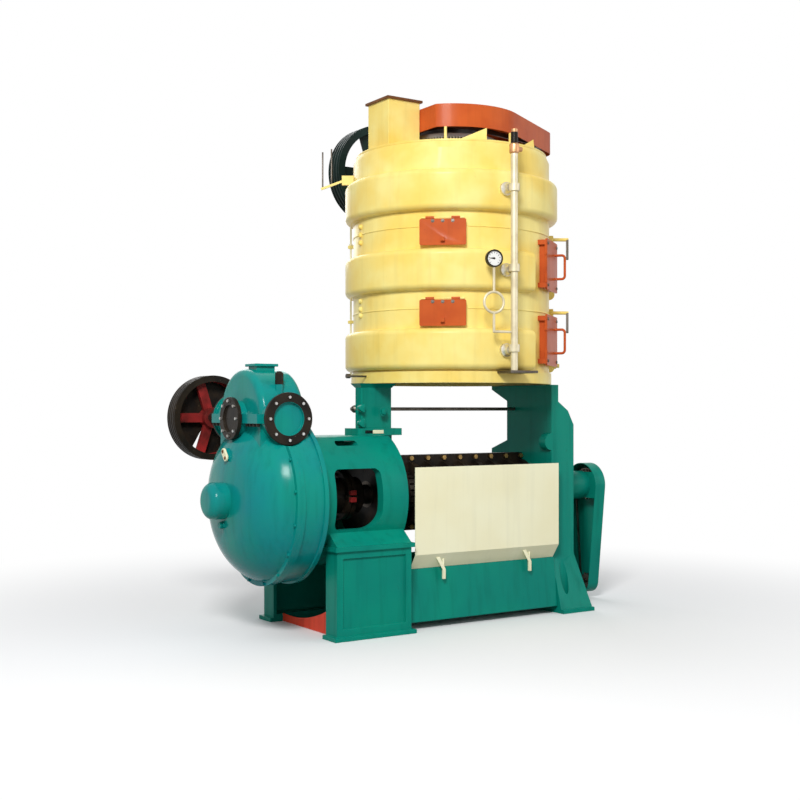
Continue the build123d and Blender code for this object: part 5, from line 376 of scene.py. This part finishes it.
def soften(corners, radius, steps=5):
    """Closed outline with each corner a quadratic curve, from a radius before it to a radius after it."""
    corners = np.asarray(corners, float)
    before = np.roll(corners, 1, 0) - corners
    after = np.roll(corners, -1, 0) - corners
    length_before = np.linalg.norm(before, axis=1)
    length_after = np.linalg.norm(after, axis=1)
    start = corners + before * (np.minimum(radius, 0.49 * length_before) / length_before)[:, None]
    end = corners + after * (np.minimum(radius, 0.49 * length_after) / length_after)[:, None]
    t = np.linspace(0.0, 1.0, steps)[None, :, None]
    curve = (1 - t) ** 2 * start[:, None] + 2 * t * (1 - t) * corners[:, None] + t**2 * end[:, None]
    return curve.reshape(-1, corners.shape[1])


def quads(rows, columns, close_rows=False, close_columns=False):
    """Four-sided faces over a grid of rows x columns points, joined up round either way."""
    steps = np.arange(rows - (not close_rows)), np.arange(columns - (not close_columns))
    i, j = (grid.ravel() for grid in np.meshgrid(*steps, indexing="ij"))
    down, right = (i + 1) % rows, (j + 1) % columns
    faces = np.stack((i * columns + j, down * columns + j, down * columns + right, i * columns + right), 1)
    return faces.tolist()


def end_faces(rows, columns):
    """The first and the last row of a grid, each as one face."""
    return [list(range(columns)), list(range((rows - 1) * columns, rows * columns))]


def carried(outline, profile, origin, right, up, hollow=False):
    """Profile of (inset, depth) carried round a closed outline: each point is the outline's, moved inwards by
    the inset along its corner's bisector and along right x up by the depth. Hollow joins its ends."""
    outline, profile = np.asarray(outline, float), np.asarray(profile, float)
    right, up = unit(right), unit(up)
    before, after = outline - np.roll(outline, 1, 0), np.roll(outline, -1, 0) - outline
    before = before / np.maximum(np.linalg.norm(before, axis=1), 1e-12)[:, None]
    after = after / np.maximum(np.linalg.norm(after, axis=1), 1e-12)[:, None]
    tangent = before + after
    tangent = tangent / np.maximum(np.linalg.norm(tangent, axis=1), 1e-12)[:, None]
    following = np.roll(outline, -1, 0)
    area = np.sum(outline[:, 0] * following[:, 1] - outline[:, 1] * following[:, 0])
    inward = np.stack((-tangent[:, 1], tangent[:, 0]), 1) * math.copysign(1.0, area)
    mitre = 1.0 / np.maximum(np.sum(tangent * before, 1), 0.35)
    flat = outline[None] + profile[:, None, :1] * (inward * mitre[:, None])[None]
    deep = profile[:, None, 1:] * np.cross(right, up)
    points = np.asarray(origin) + flat[..., :1] * right + flat[..., 1:] * up + deep
    faces = quads(len(profile), len(outline), close_rows=hollow, close_columns=True)
    if not hollow:
        faces += end_faces(len(profile), len(outline))
    return points.reshape(-1, 3), faces


def eased_edge(depth, ease, steps=4):
    """Profile for a solid plate: a quarter round of the ease at both of its faces."""
    t = np.linspace(0.0, math.pi / 2, steps)
    low = np.stack((ease * (1 - np.sin(t)), ease * (1 - np.cos(t))), 1)
    return np.concatenate((low, np.stack((low[::-1, 0], depth - low[::-1, 1]), 1)))


def box_outline(width, height, corner=0.0):
    """Rectangle about the origin, its corners rounded."""
    corners = np.array(((-1, -1), (1, -1), (1, 1), (-1, 1))) * np.array((width / 2, height / 2))
    return soften(corners, corner) if corner else corners


def bolt_heads(places, direction, radius, height):
    """Hexagon heads on round washers at many places at once: five rings of twelve points stepped along the
    bolt, the washer's two at a plain radius and the head's three at the radius of a hexagon."""
    places = np.asarray(places, float).reshape(-1, 3)
    direction = unit(direction)
    side = unit(np.cross(direction, (0.3, 0.5, 0.9)))
    up = np.cross(direction, side)
    t = np.radians(np.arange(0.0, 360.0, 30.0))
    spoke = np.cos(t)[:, None] * side + np.sin(t)[:, None] * up
    hexagon = np.where(np.arange(12) % 2 == 0, 1.0, math.cos(math.pi / 6))
    rows = np.array(((1.35, 0.0), (1.35, 0.18), (1.0, 0.18), (1.0, 0.88), (0.86, 1.0)))
    shape = np.where(np.arange(5)[:, None] >= 2, hexagon[None], 1.0) * rows[:, :1] * radius
    one = shape[..., None] * spoke[None] + (rows[:, 1:] * height)[..., None] * direction
    faces = np.array(quads(5, 12, close_columns=True))
    ends = np.array(end_faces(5, 12))
    shifts = (np.arange(len(places)) * 60)[:, None, None]
    all_faces = (faces[None] + shifts).reshape(-1, 4).tolist()
    all_faces += (ends[None] + shifts).reshape(-1, 12).tolist()
    return (places[:, None] + one.reshape(1, -1, 3)).reshape(-1, 3), all_faces


def piece(name, body, slot, finish, *skins):
    """New piece from closed skins: doubles merged, faces turned outwards, edges over 38 degrees sharp."""
    starts = np.cumsum([0] + [len(points) for points, _ in skins[:-1]])
    faces = [[index + start for index in face] for (_, own), start in zip(skins, starts) for face in own]
    mesh = bpy.data.meshes.new(name)
    mesh.from_pydata(np.concatenate([points for points, _ in skins]).tolist(), [], faces)
    shape = bmesh.new()
    shape.from_mesh(mesh)
    bmesh.ops.remove_doubles(shape, verts=shape.verts, dist=1e-6)
    bmesh.ops.recalc_face_normals(shape, faces=shape.faces)
    shape.to_mesh(mesh)
    shape.free()
    mesh.shade_smooth()
    mesh.set_sharp_from_angle(angle=math.radians(38.0))
    return set_piece(name, mesh, body, finish, ())


dark_steel = bare_metal("dark_steel", (0.16, 0.14, 0.12), (0.05, 0.04, 0.03), rough=0.34)
cream_enamel = enamel(
    "cream_enamel", (0.93, 0.90, 0.64), (0.90, 0.85, 0.57), (0.55, 0.43, 0.22),
    clouds=2.5, runs=0.05, chips=0.1, rough=0.42,
)
RIGHT, UP = (1, 0, 0), (0, 0, 1)
casting("feed_column_casting", "feed_column", teal_enamel, 0.005)
casting("tie_rod_bar", "tie_rod", dark_steel, 0.001)
lug = ((0.0, -0.026), (-0.030, -0.008), (-0.030, 0.008), (0.0, 0.026), (0.012, 0.026), (0.012, -0.026))
lug, lug_edge = soften(lug, 0.006), eased_edge(0.034, 0.004)
column_lugs = [carried(lug, lug_edge, (-0.502, -0.046, z), RIGHT, UP) for z in (1.325, 1.232)]
column_bolt = bolt_heads([(-0.360, -0.0845, 1.305)], (0, -1, 0), 0.022, 0.012)
piece("column_lugs", "frame", "casting", teal_enamel, *column_lugs, column_bolt)
plate_outline = box_outline(0.078, 0.022, 0.004)
plate_skin = carried(plate_outline, eased_edge(0.003, 0.001), (-0.400, -0.0848, 1.180), RIGHT, UP)
piece("column_foot_plate", "frame", "cream_paint", cream_enamel, plate_skin)

# Right frame and oil bed: the hollow upright at the cake end, and the open trough that the
# oil drains into, both cast and painted teal.
casting("right_frame_casting", "right_frame", teal_enamel, 0.006)
casting("oil_bed_casting", "oil_bed", teal_enamel, 0.006)

# Gearbox: a cast ring closed by a domed end cover with a long hub, and an arched upper cover
# over the input gears. Black nuts sit under the split flange along both sides and the end.
SPLIT_Z, SPLIT_Y, SPLIT_END_X = 1.2385, 0.289, -1.322
gearbox_enamel = enamel(
    "gearbox_enamel", (0.003, 0.265, 0.208), (0.003, 0.225, 0.240), (0.01, 0.07, 0.06),
    clouds=2.2, rough=0.16, shine=0.11,
)
black_enamel = enamel(
    "black_enamel", (0.014, 0.012, 0.010), (0.030, 0.022, 0.015), (0.12, 0.09, 0.06), clouds=9.0, chips=0.7
)
casting("gearbox_ring_casting", "gearbox_case", gearbox_enamel, 0.004)
casting("gearbox_dome_casting", "gearbox_end_cover", gearbox_enamel, 0.005)
casting("gearbox_arch_casting", "gearbox_upper_cover", gearbox_enamel, 0.004)
split_places = [(x, side * SPLIT_Y, SPLIT_Z) for x in (SPLIT_END_X, -1.16, -1.02) for side in (-1, 1)]
split_places += [(SPLIT_END_X, side * y, SPLIT_Z) for y in (0.245, 0.200, 0.155) for side in (-1, 1)]
piece("split_flange_nuts", "frame", "steel", black_enamel, bolt_heads(split_places, (0, 0, -1), 0.011, 0.018))

# Bearing caps of the input and cross shafts: drums in the gearbox's paint, faced with black
# iron rings on bare steel bolts. The eye inside the input shaft's rings keeps the drums'
# paint, and so do the bolts round the gearbox ring.
INPUT_X, INPUT_Z = -1.161, 1.265
CAP_R, CAP_EYE = 0.16, 0.0945
SIDE_BOLTS_Y, END_BOLTS_X = 0.3345, -1.3405
SIDE_RINGS_Y, END_RING_X = 0.34, -1.345


def from_input(x, z):
    """Distance from the axis of the input shaft."""
    return np.hypot(x - INPUT_X, z - INPUT_Z)


def on_cap(x, y, z):
    """True beyond the drums' end faces, round the input shaft or at the cross shaft's end."""
    return (np.abs(y) > SIDE_BOLTS_Y) & (from_input(x, z) < CAP_R) | (x < END_BOLTS_X)


def on_ring(x, y, z):
    """True on the black rings: outside the eye at the sides, and the whole of the end."""
    return (np.abs(y) > SIDE_RINGS_Y) & (from_input(x, z) > CAP_EYE) | (x < END_RING_X)


def off_cap(x, y, z):
    """True wherever on_cap is not."""
    return not on_cap(x, y, z)


machined_steel = bare_metal("machined_steel", (0.55, 0.55, 0.54), (0.20, 0.16, 0.11))
housings = casting("bearing_housing_drums", "bearing_housings", gearbox_enamel, 0.003)
second_finish(housings, black_enamel, on_ring, np.any)
casting("cap_bolts", "gearbox_bolts", machined_steel, 0.0, chosen=on_cap)
casting("ring_bolts", "gearbox_bolts", gearbox_enamel, 0.0, chosen=off_cap, stands_for=False)


def finish_node(finish, slot, *names):
    """CAD nodes that stay as they are, in their real finish."""
    for name in names:
        node = frame["nodes"][name]
        node.data.materials.clear()
        node.data.materials.append(finish)


finish_node(dark_steel, "steel", "bearings", "cross_shaft", "main_gear")

# Small fittings: a cast inspection plate and a drain plug in the gearbox's paint, a cream
# sight glass with two brown screws, and a black oil cup on the arch.
SIGHT_LOW, SIGHT_HIGH, CUP_Y, PLATE_HALF = 0.95, 1.2, -0.15, 0.1


def is_sight(x, y, z):
    """True between the heights that hold the sight glass."""
    return SIGHT_LOW < z < SIGHT_HIGH


def is_plate(x, y, z):
    """True near the middle plane, above and below the sight glass."""
    return abs(y) < PLATE_HALF and not is_sight(x, y, z)


def is_cup(x, y, z):
    """True in front, where only the oil cup is."""
    return y < CUP_Y


brown_paint = enamel(
    "brown_paint", (0.20, 0.075, 0.022), (0.13, 0.050, 0.018), (0.06, 0.03, 0.02), clouds=9.0
)
casting("plate_and_drain", "gearbox_fittings", gearbox_enamel, 0.003, is_plate)
casting("oil_cup_pot", "gearbox_fittings", black_enamel, 0.002, is_cup, stands_for=False)
casting("sight_glass_cap", "gearbox_fittings", cream_enamel, 0.002, is_sight, stands_for=False)
screw_turn = math.radians(50.0)
screw_reach = 0.024 * np.array((0.0, math.cos(screw_turn), math.sin(screw_turn)))
sight_screws = [np.array((-1.4008, -0.011, 1.057)) + end * screw_reach for end in (-1, 1)]
piece("sight_glass_screws", "frame", "steel", brown_paint, bolt_heads(sight_screws, (-1, 0, 0), 0.008, 0.005))

# Input pulley: cast iron with a turned rim and red spokes whose paint drifts to near black in
# clouds of painted shade. A thin web, black as painted shade for the deep pulley's inside, closes
# the spokes' far side, with one narrow gap at the bottom. Its shaft is dark steel.
SPOKES_R = 0.238
WEB_Y, WEB_HUB_R, WEB_R, WEB_WALL = 0.745, 0.045, 0.241, 0.003
# Red whose clouds drift to near black: painted shade on the spokes and the lugs.
red_with_painted_shade = enamel(
    "red_with_painted_shade", (0.42, 0.030, 0.030), (0.030, 0.012, 0.010), (0.05, 0.02, 0.02), clouds=5.0
)
input_pulley = casting("input_pulley_casting", "input_pulley", black_enamel, 0.002)
second_finish(input_pulley, red_with_painted_shade, lambda x, y, z: from_input(x, z) < SPOKES_R)


def turned(profile, centre, axis, start=0.0, sweep=360.0, steps=96):
    """Closed profile of (radius, height) turned round an axis: the centre, plus the radius times side cos t
    and up sin t, plus the height along the axis."""
    profile = np.asarray(profile, float)
    axis = unit(axis)
    side = unit(np.cross((0.0, 0.0, 1.0), axis)) if abs(axis[2]) < 0.9 else np.array((0.0, -1.0, 0.0))
    up = np.cross(axis, side)
    whole = sweep == 360.0
    t = np.radians(start + np.linspace(0.0, sweep, steps, endpoint=not whole))
    spoke = np.cos(t)[:, None] * side + np.sin(t)[:, None] * up
    points = np.asarray(centre) + profile[None, :, :1] * spoke[:, None] + profile[None, :, 1:] * axis
    faces = quads(len(t), len(profile), close_rows=whole, close_columns=True)
    if not whole:
        faces += end_faces(len(t), len(profile))
    return points.reshape(-1, 3), faces


def ring_profile(inner, outer, low, high):
    """Rectangle between two radii and two heights."""
    return ((inner, low), (outer, low), (outer, high), (inner, high))


web_profile = ring_profile(WEB_HUB_R, WEB_R, 0.0, WEB_WALL)
web_skin = turned(web_profile, (INPUT_X, WEB_Y, INPUT_Z), (0, 1, 0), start=300.0, sweep=340.0)
piece("pulley_shade_web", frame["nodes"]["input_pulley"]["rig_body"], "dark_paint", oily_black_and_shade, web_skin)
casting("input_shaft_steel", "input_shaft", dark_steel, 0.0)

# Pressing barrel: two oily halves bolted along their flanges round the lining bars, and the
# coupling that drives the main shaft, black as painted shade inside the drum, with two small red
# lugs seen through the drum's window.
gold_steel = bare_metal("gold_steel", (0.42, 0.27, 0.10), (0.10, 0.06, 0.03), patches=20.0, rough=0.4)
casting("barrel_front_half", "cage_front_half", oily_black_and_shade, 0.003)
casting("barrel_rear_half", "cage_rear_half", oily_black_and_shade, 0.003)
finish_node(dark_steel, "steel", "cage_bars", "worms", "choke_ring")
finish_node(dark_steel, "steel", "main_shaft", "drive_chains", "foots_screw")
casting("barrel_bolts", "cage_bolts", gold_steel, 0.002)
casting("drum_coupling", "shaft_coupling", oily_black_and_shade, 0.003)
lug_face, lug_edge = box_outline(0.042, 0.030, 0.006), eased_edge(0.022, 0.002)
red_lugs = [carried(lug_face, lug_edge, (-0.625, -0.146, z), RIGHT, UP) for z in (0.776, 0.818)]
coupling_body = frame["nodes"]["shaft_coupling"]["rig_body"]
piece("red_coupling_lugs", coupling_body, "red_paint", red_with_painted_shade, *red_lugs)

# Splash guard: a folded cream sheet that stands on the bed's edge. Two straps bent from the
# same sheet hang over the fold and end in the guard's round hooks.
STRAP_Y = -0.3995
casting("cream_guard", "guard_panel", cream_enamel, 0.0015)
strap = ((-0.060, 0.424), (-0.036, 0.428), (0.009, 0.352), (0.009, 0.292), (-0.009, 0.292), (-0.010, 0.346))
strap_edge = eased_edge(0.006, 0.001)
strap_skins = [carried(strap, strap_edge, (x, STRAP_Y, 0), RIGHT, UP) for x in (-0.127, 0.542)]
piece("guard_straps", frame["nodes"]["guard_panel"]["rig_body"], "cream_paint", cream_enamel, *strap_skins)

# Cake end: the shaft's hood, and the chain case that hangs from it, both painted teal with
# the frames.
casting("shaft_hood_tube", "shaft_hood", teal_enamel, 0.003)
casting("chain_case_sheet", "chain_case", teal_enamel, 0.003)

# Cooker: a plate vessel in three decks with steam jackets, all in yellow enamel but for the
# dark deck plates inside, the orange necks of the side doors and a dark shelf at the foot.
COOKER_X = 0.212
SIDE_NECKS_X, SIDE_NECKS_R = 0.4, 0.6
SHELF_Y, SHELF_LOW, SHELF_HIGH = -0.6, 1.533, 1.549
# Its clouds drift to a deeper gold: partly the paint's own uneven tone, partly painted shade.
yellow_enamel = enamel(
    "yellow_enamel", (0.93, 0.78, 0.27), (0.90, 0.66, 0.15), (0.50, 0.30, 0.06),
    clouds=4.0, runs=0.08, chips=0.12, shine=0.15,
)
orange_enamel = enamel(
    "orange_enamel", (0.58, 0.110, 0.024), (0.50, 0.085, 0.020), (0.2, 0.05, 0.03), clouds=6.0, runs=0.1
)
casting("vessel_shell", "cooker_shell", yellow_enamel, 0.006)
for level in ("lower", "middle", "upper"):
    casting("steam_jacket_" + level, level + "_jacket", yellow_enamel, 0.006)
casting("deck_plates", "cooker_decks", dark_steel, 0.0)
casting("vessel_lid", "cooker_lid", yellow_enamel, 0.003)
casting("feed_chute_box", "feed_chute", yellow_enamel, 0.003)
casting("lid_brackets", "lid_supports", yellow_enamel, 0.003)
necks = casting("door_necks", "door_frames", yellow_enamel, 0.002)
second_finish(
    necks,
    orange_enamel,
    lambda x, y, z: (x > SIDE_NECKS_X) & (np.hypot(x - COOKER_X, y) > SIDE_NECKS_R),
    np.any,
)
bosses = casting("vessel_bosses", "vessel_fittings", yellow_enamel, 0.002)
second_finish(bosses, dark_steel, lambda x, y, z: (y < SHELF_Y) & (z > SHELF_LOW) & (z < SHELF_HIGH))

# Weld beads: they run round the jackets' edges and round the two joints of the shell between
# them. The lower four on the jackets leave out the side doors, and the joints the front ones.
SHELL_R = 0.632
BEAD_R = 0.0045
bead_turn = np.radians(np.arange(0.0, 360.0, 45.0))
bead = np.column_stack((SHELL_R + BEAD_R * np.cos(bead_turn), BEAD_R * np.sin(bead_turn)))
bead_rows = [(z, 62.0, 311.5) for z in (1.5565, 1.8035, 2.0315, 2.2785)]
bead_rows += [(z, 0.0, 360.0) for z in (2.5065, 2.7535)]
bead_rows += [(z, -26.5, 333.0) for z in (1.922, 2.413)]
bead_skins = [turned(bead, (COOKER_X, 0.0, z), (0, 0, 1), start, sweep, 160) for z, start, sweep in bead_rows]
piece("weld_beads", "frame", "vessel_paint", yellow_enamel, *bead_skins)

# Ribs on the lid: a long three-cornered one and a short bent ear to its right, both cut from
# plate and standing on edge near the lid's front.
LID_TOP = 2.9385
rib_outline = ((0.0, 0.0), (0.212, 0.0), (0.212, 0.086))
rib_skin = carried(rib_outline, eased_edge(0.010, 0.002), (-0.075, -0.408, LID_TOP), (0.172, -0.118, 0.0), UP)
ear_outline = ((0.400, LID_TOP), (0.500, LID_TOP), (0.575, 2.975), (0.565, 3.035))
ear_skin = carried(ear_outline, eased_edge(0.008, 0.002), (0, -0.400, 0), RIGHT, UP)
piece("lid_ribs", "frame", "vessel_paint", yellow_enamel, rib_skin, ear_skin)


# Lumps on the vessel's left side: short round studs welded one above the other in two groups
# of three, in the vessel's paint.
def round_vessel(degrees, reach, height):
    """Place at a reach from the vessel's axis, and the directions outwards and to the right there."""
    turn = math.radians(degrees)
    out = np.array((math.sin(turn), -math.cos(turn), 0.0))
    side = np.array((math.cos(turn), math.sin(turn), 0.0))
    return np.array((COOKER_X, 0.0, height)) + reach * out, out, side


STUD_REACH = 0.629
stud = ((0.0, 0.0), (0.016, 0.0), (0.016, 0.012), (0.010, 0.020), (0.0, 0.022))
stud_skins = []
for height in (2.460, 2.408, 2.360, 1.996, 1.944, 1.904):
    foot, out = round_vessel(-98.6, STUD_REACH, height)[:2]
    stud_skins.append(turned(stud, foot, out, steps=24))
piece("vessel_side_lumps", "frame", "vessel_paint", yellow_enamel, *stud_skins)

# Rim of the feed chute: a brown band round its mouth, a rectangle carried round the opening
# and lying on its top edge.
CHUTE_LEFT, CHUTE_RIGHT, CHUTE_FRONT, CHUTE_REAR = -0.3705, -0.1115, -0.1485, 0.1135
rim_outline = [(CHUTE_LEFT, CHUTE_FRONT), (CHUTE_RIGHT, CHUTE_FRONT)]
rim_outline += [(CHUTE_RIGHT, CHUTE_REAR), (CHUTE_LEFT, CHUTE_REAR)]
rim_profile = ((0.0, 0.0), (0.0, 0.0145), (0.0205, 0.0145), (0.0205, 0.0))
rim_skin = carried(rim_outline, rim_profile, (0, 0, 3.2268), RIGHT, (0, 1, 0), hollow=True)
piece("chute_brown_rim", "frame", "vessel_paint", brown_paint, rim_skin)

# Drive on the lid: crown gear, shafts and pulley, with an orange cover over the gear. The
# shafts are dark steel, the gear is machined steel, and the pulley is painted green-black.
pulley_enamel = enamel(
    "pulley_enamel", (0.010, 0.026, 0.022), (0.008, 0.015, 0.013), (0.10, 0.08, 0.05), clouds=7.0, chips=0.6
)
casting("orange_gear_cover", "gear_cover", orange_enamel, 0.006)
finish_node(machined_steel, "steel", "crown_gear")
finish_node(dark_steel, "steel", "top_shaft", "side_shaft", "stirrer")
casting("top_pulley_casting", "top_pulley", pulley_enamel, 0.002)

# Doors: orange leaves on pin hinges. The front ones have three dark bolts along the top edge,
# the side ones a bolt near each corner. A row gives the leaf's turn about the vessel, reach
# and height, half the width and height of its bolts' frame, and each bolt's share of those.
FRONT_BOLTS = ((-0.5, 1.1), (0.0, 1.1), (0.5, 1.1))
SIDE_BOLTS = ((-1, -1), (-1, 1), (1, -1), (1, 1))
DOOR_ROWS = (
    ("lower_front_door", -40.0, 0.658, 1.893, 0.120, 0.060, FRONT_BOLTS),
    ("upper_front_door", -40.0, 0.658, 2.374, 0.120, 0.060, FRONT_BOLTS),
    ("lower_side_door", 37.8, 0.666, 1.749, 0.128, 0.130, SIDE_BOLTS),
    ("upper_side_door", 37.8, 0.666, 2.220, 0.128, 0.130, SIDE_BOLTS),
)
for door, degrees, reach, height, half_width, half_height, shares in DOOR_ROWS:
    casting(door + "_leaf", door, orange_enamel, 0.003)
    centre, out, side = round_vessel(degrees, reach, height)
    corners = [centre + i * half_width * side + np.array((0, 0, k * half_height)) for i, k in shares]
    door_body = frame["nodes"][door]["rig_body"]
    piece(door + "_bolts", door_body, "steel", dark_steel, bolt_heads(corners, out, 0.008, 0.007))

# Steam line: a galvanised pipe with a bright union at each jacket, a brass safety valve with
# a black bonnet, and the case and looped siphon of the pressure gauge, galvanised too.
PIPE_REACH, UNION_REACH = 0.774, 0.682
bright_metal = bare_metal("bright_metal", (0.78, 0.76, 0.70), (0.40, 0.36, 0.28), patches=20.0, rough=0.28)
dull_brass = bare_metal("dull_brass", (0.66, 0.36, 0.18), (0.25, 0.12, 0.06), patches=20.0, rough=0.34)
zinc_pipe = bare_metal(
    "zinc_pipe", (0.72, 0.64, 0.44), (0.46, 0.38, 0.23), patches=14.0, share=0.45, rough=0.34, metallic=0.35
)
casting("steam_riser", "steam_pipe", zinc_pipe, 0.002)
casting("safety_valve_body", "safety_valve", dull_brass, 0.002)
union = ((0.0, 0.0), (0.040, 0.0), (0.040, 0.022), (0.030, 0.034), (0.026, 0.062), (0.0, 0.066))
union_skins = []
for height in (1.672, 2.150, 2.634):
    foot, out = round_vessel(-7.4, UNION_REACH, height)[:2]
    union_skins.append(turned(union, foot, out, steps=40))
piece("steam_unions", "frame", "steel", bright_metal, *union_skins)
casting("gauge_and_siphon", "pressure_gauge", zinc_pipe, 0.001)
valve_foot = round_vessel(-6.8, PIPE_REACH, 2.8905)[0]
bonnet = ((0.0, 0.0), (0.0215, 0.0), (0.0215, 0.060), (0.017, 0.078), (0.010, 0.0855), (0.0, 0.0855))
piece("valve_bonnet", "frame", "dark_paint", black_enamel, turned(bonnet, valve_foot, UP, steps=48))

# Dial of the pressure gauge: white, with black strokes, pointer and rim. It lies in the case
# and faces a little to the left.
DIAL_R, DIAL_FACE, STROKE_REACH = 0.0435, 0.0012, 0.034
dial_white = enamel(
    "dial_white", (0.86, 0.86, 0.82), (0.80, 0.80, 0.76), (0.6, 0.6, 0.55), runs=0.0, chips=0.0, rough=0.5
)
dial_centre, dial_out, dial_side = round_vessel(-16.7, PIPE_REACH + 0.007, 2.204)
dial = turned(ring_profile(0.0, DIAL_R, 0.0002, DIAL_FACE), dial_centre, dial_out, steps=64)
piece("gauge_dial", "frame", "cream_paint", dial_white, dial)
stroke, stroke_edge = box_outline(0.010, 0.0022), eased_edge(0.0006, 0.0001)
stroke_skins = []
for turn in np.radians(np.arange(-45.0, 226.0, 27.0)):
    along = math.cos(turn) * dial_side + math.sin(turn) * np.array((0, 0, 1.0))
    origin = dial_centre + STROKE_REACH * along + DIAL_FACE * dial_out
    across = np.cross(dial_out, along)
    stroke_skins.append(carried(stroke, stroke_edge, origin, along, across))
piece("gauge_strokes", "frame", "dark_paint", black_enamel, *stroke_skins)
pointer = ((-0.0345, 0.0), (0.0, -0.0063), (0.0065, 0.0), (0.0, 0.0063))
pointer_foot = dial_centre + DIAL_FACE * dial_out
pointer_skin = carried(pointer, eased_edge(0.0012, 0.0001), pointer_foot, dial_side, UP)
piece("gauge_pointer", "frame", "dark_paint", black_enamel, pointer_skin)
rim = turned(ring_profile(0.0438, 0.0512, -0.020, 0.0088), dial_centre, dial_out, steps=64)
piece("gauge_rim", "frame", "dark_paint", black_enamel, rim)

# Levers, gates and links on the vessel: yellow arms with thin dark steel rods, a cream link
# rod, and a dark steel slide at the outlet.
LEVER_RODS_Z = 2.92
GATE_RODS_X = 0.83
lever = casting("level_lever_arm", "level_lever", yellow_enamel, 0.001)
second_finish(lever, dark_steel, lambda x, y, z: z > LEVER_RODS_Z, np.any)
casting("link_rod_bar", "link_rod", cream_enamel, 0.001)
casting("outlet_slide_bar", "outlet_slide", dark_steel, 0.001)
for gate, rod_top in (("lower_gate", 1.86), ("upper_gate", 2.34)):
    arm = casting(gate + "_arm", gate, yellow_enamel, 0.001)
    second_finish(arm, dark_steel, lambda x, y, z: (x > GATE_RODS_X) & (z < rod_top), np.any)

bpy.context.view_layer.update()
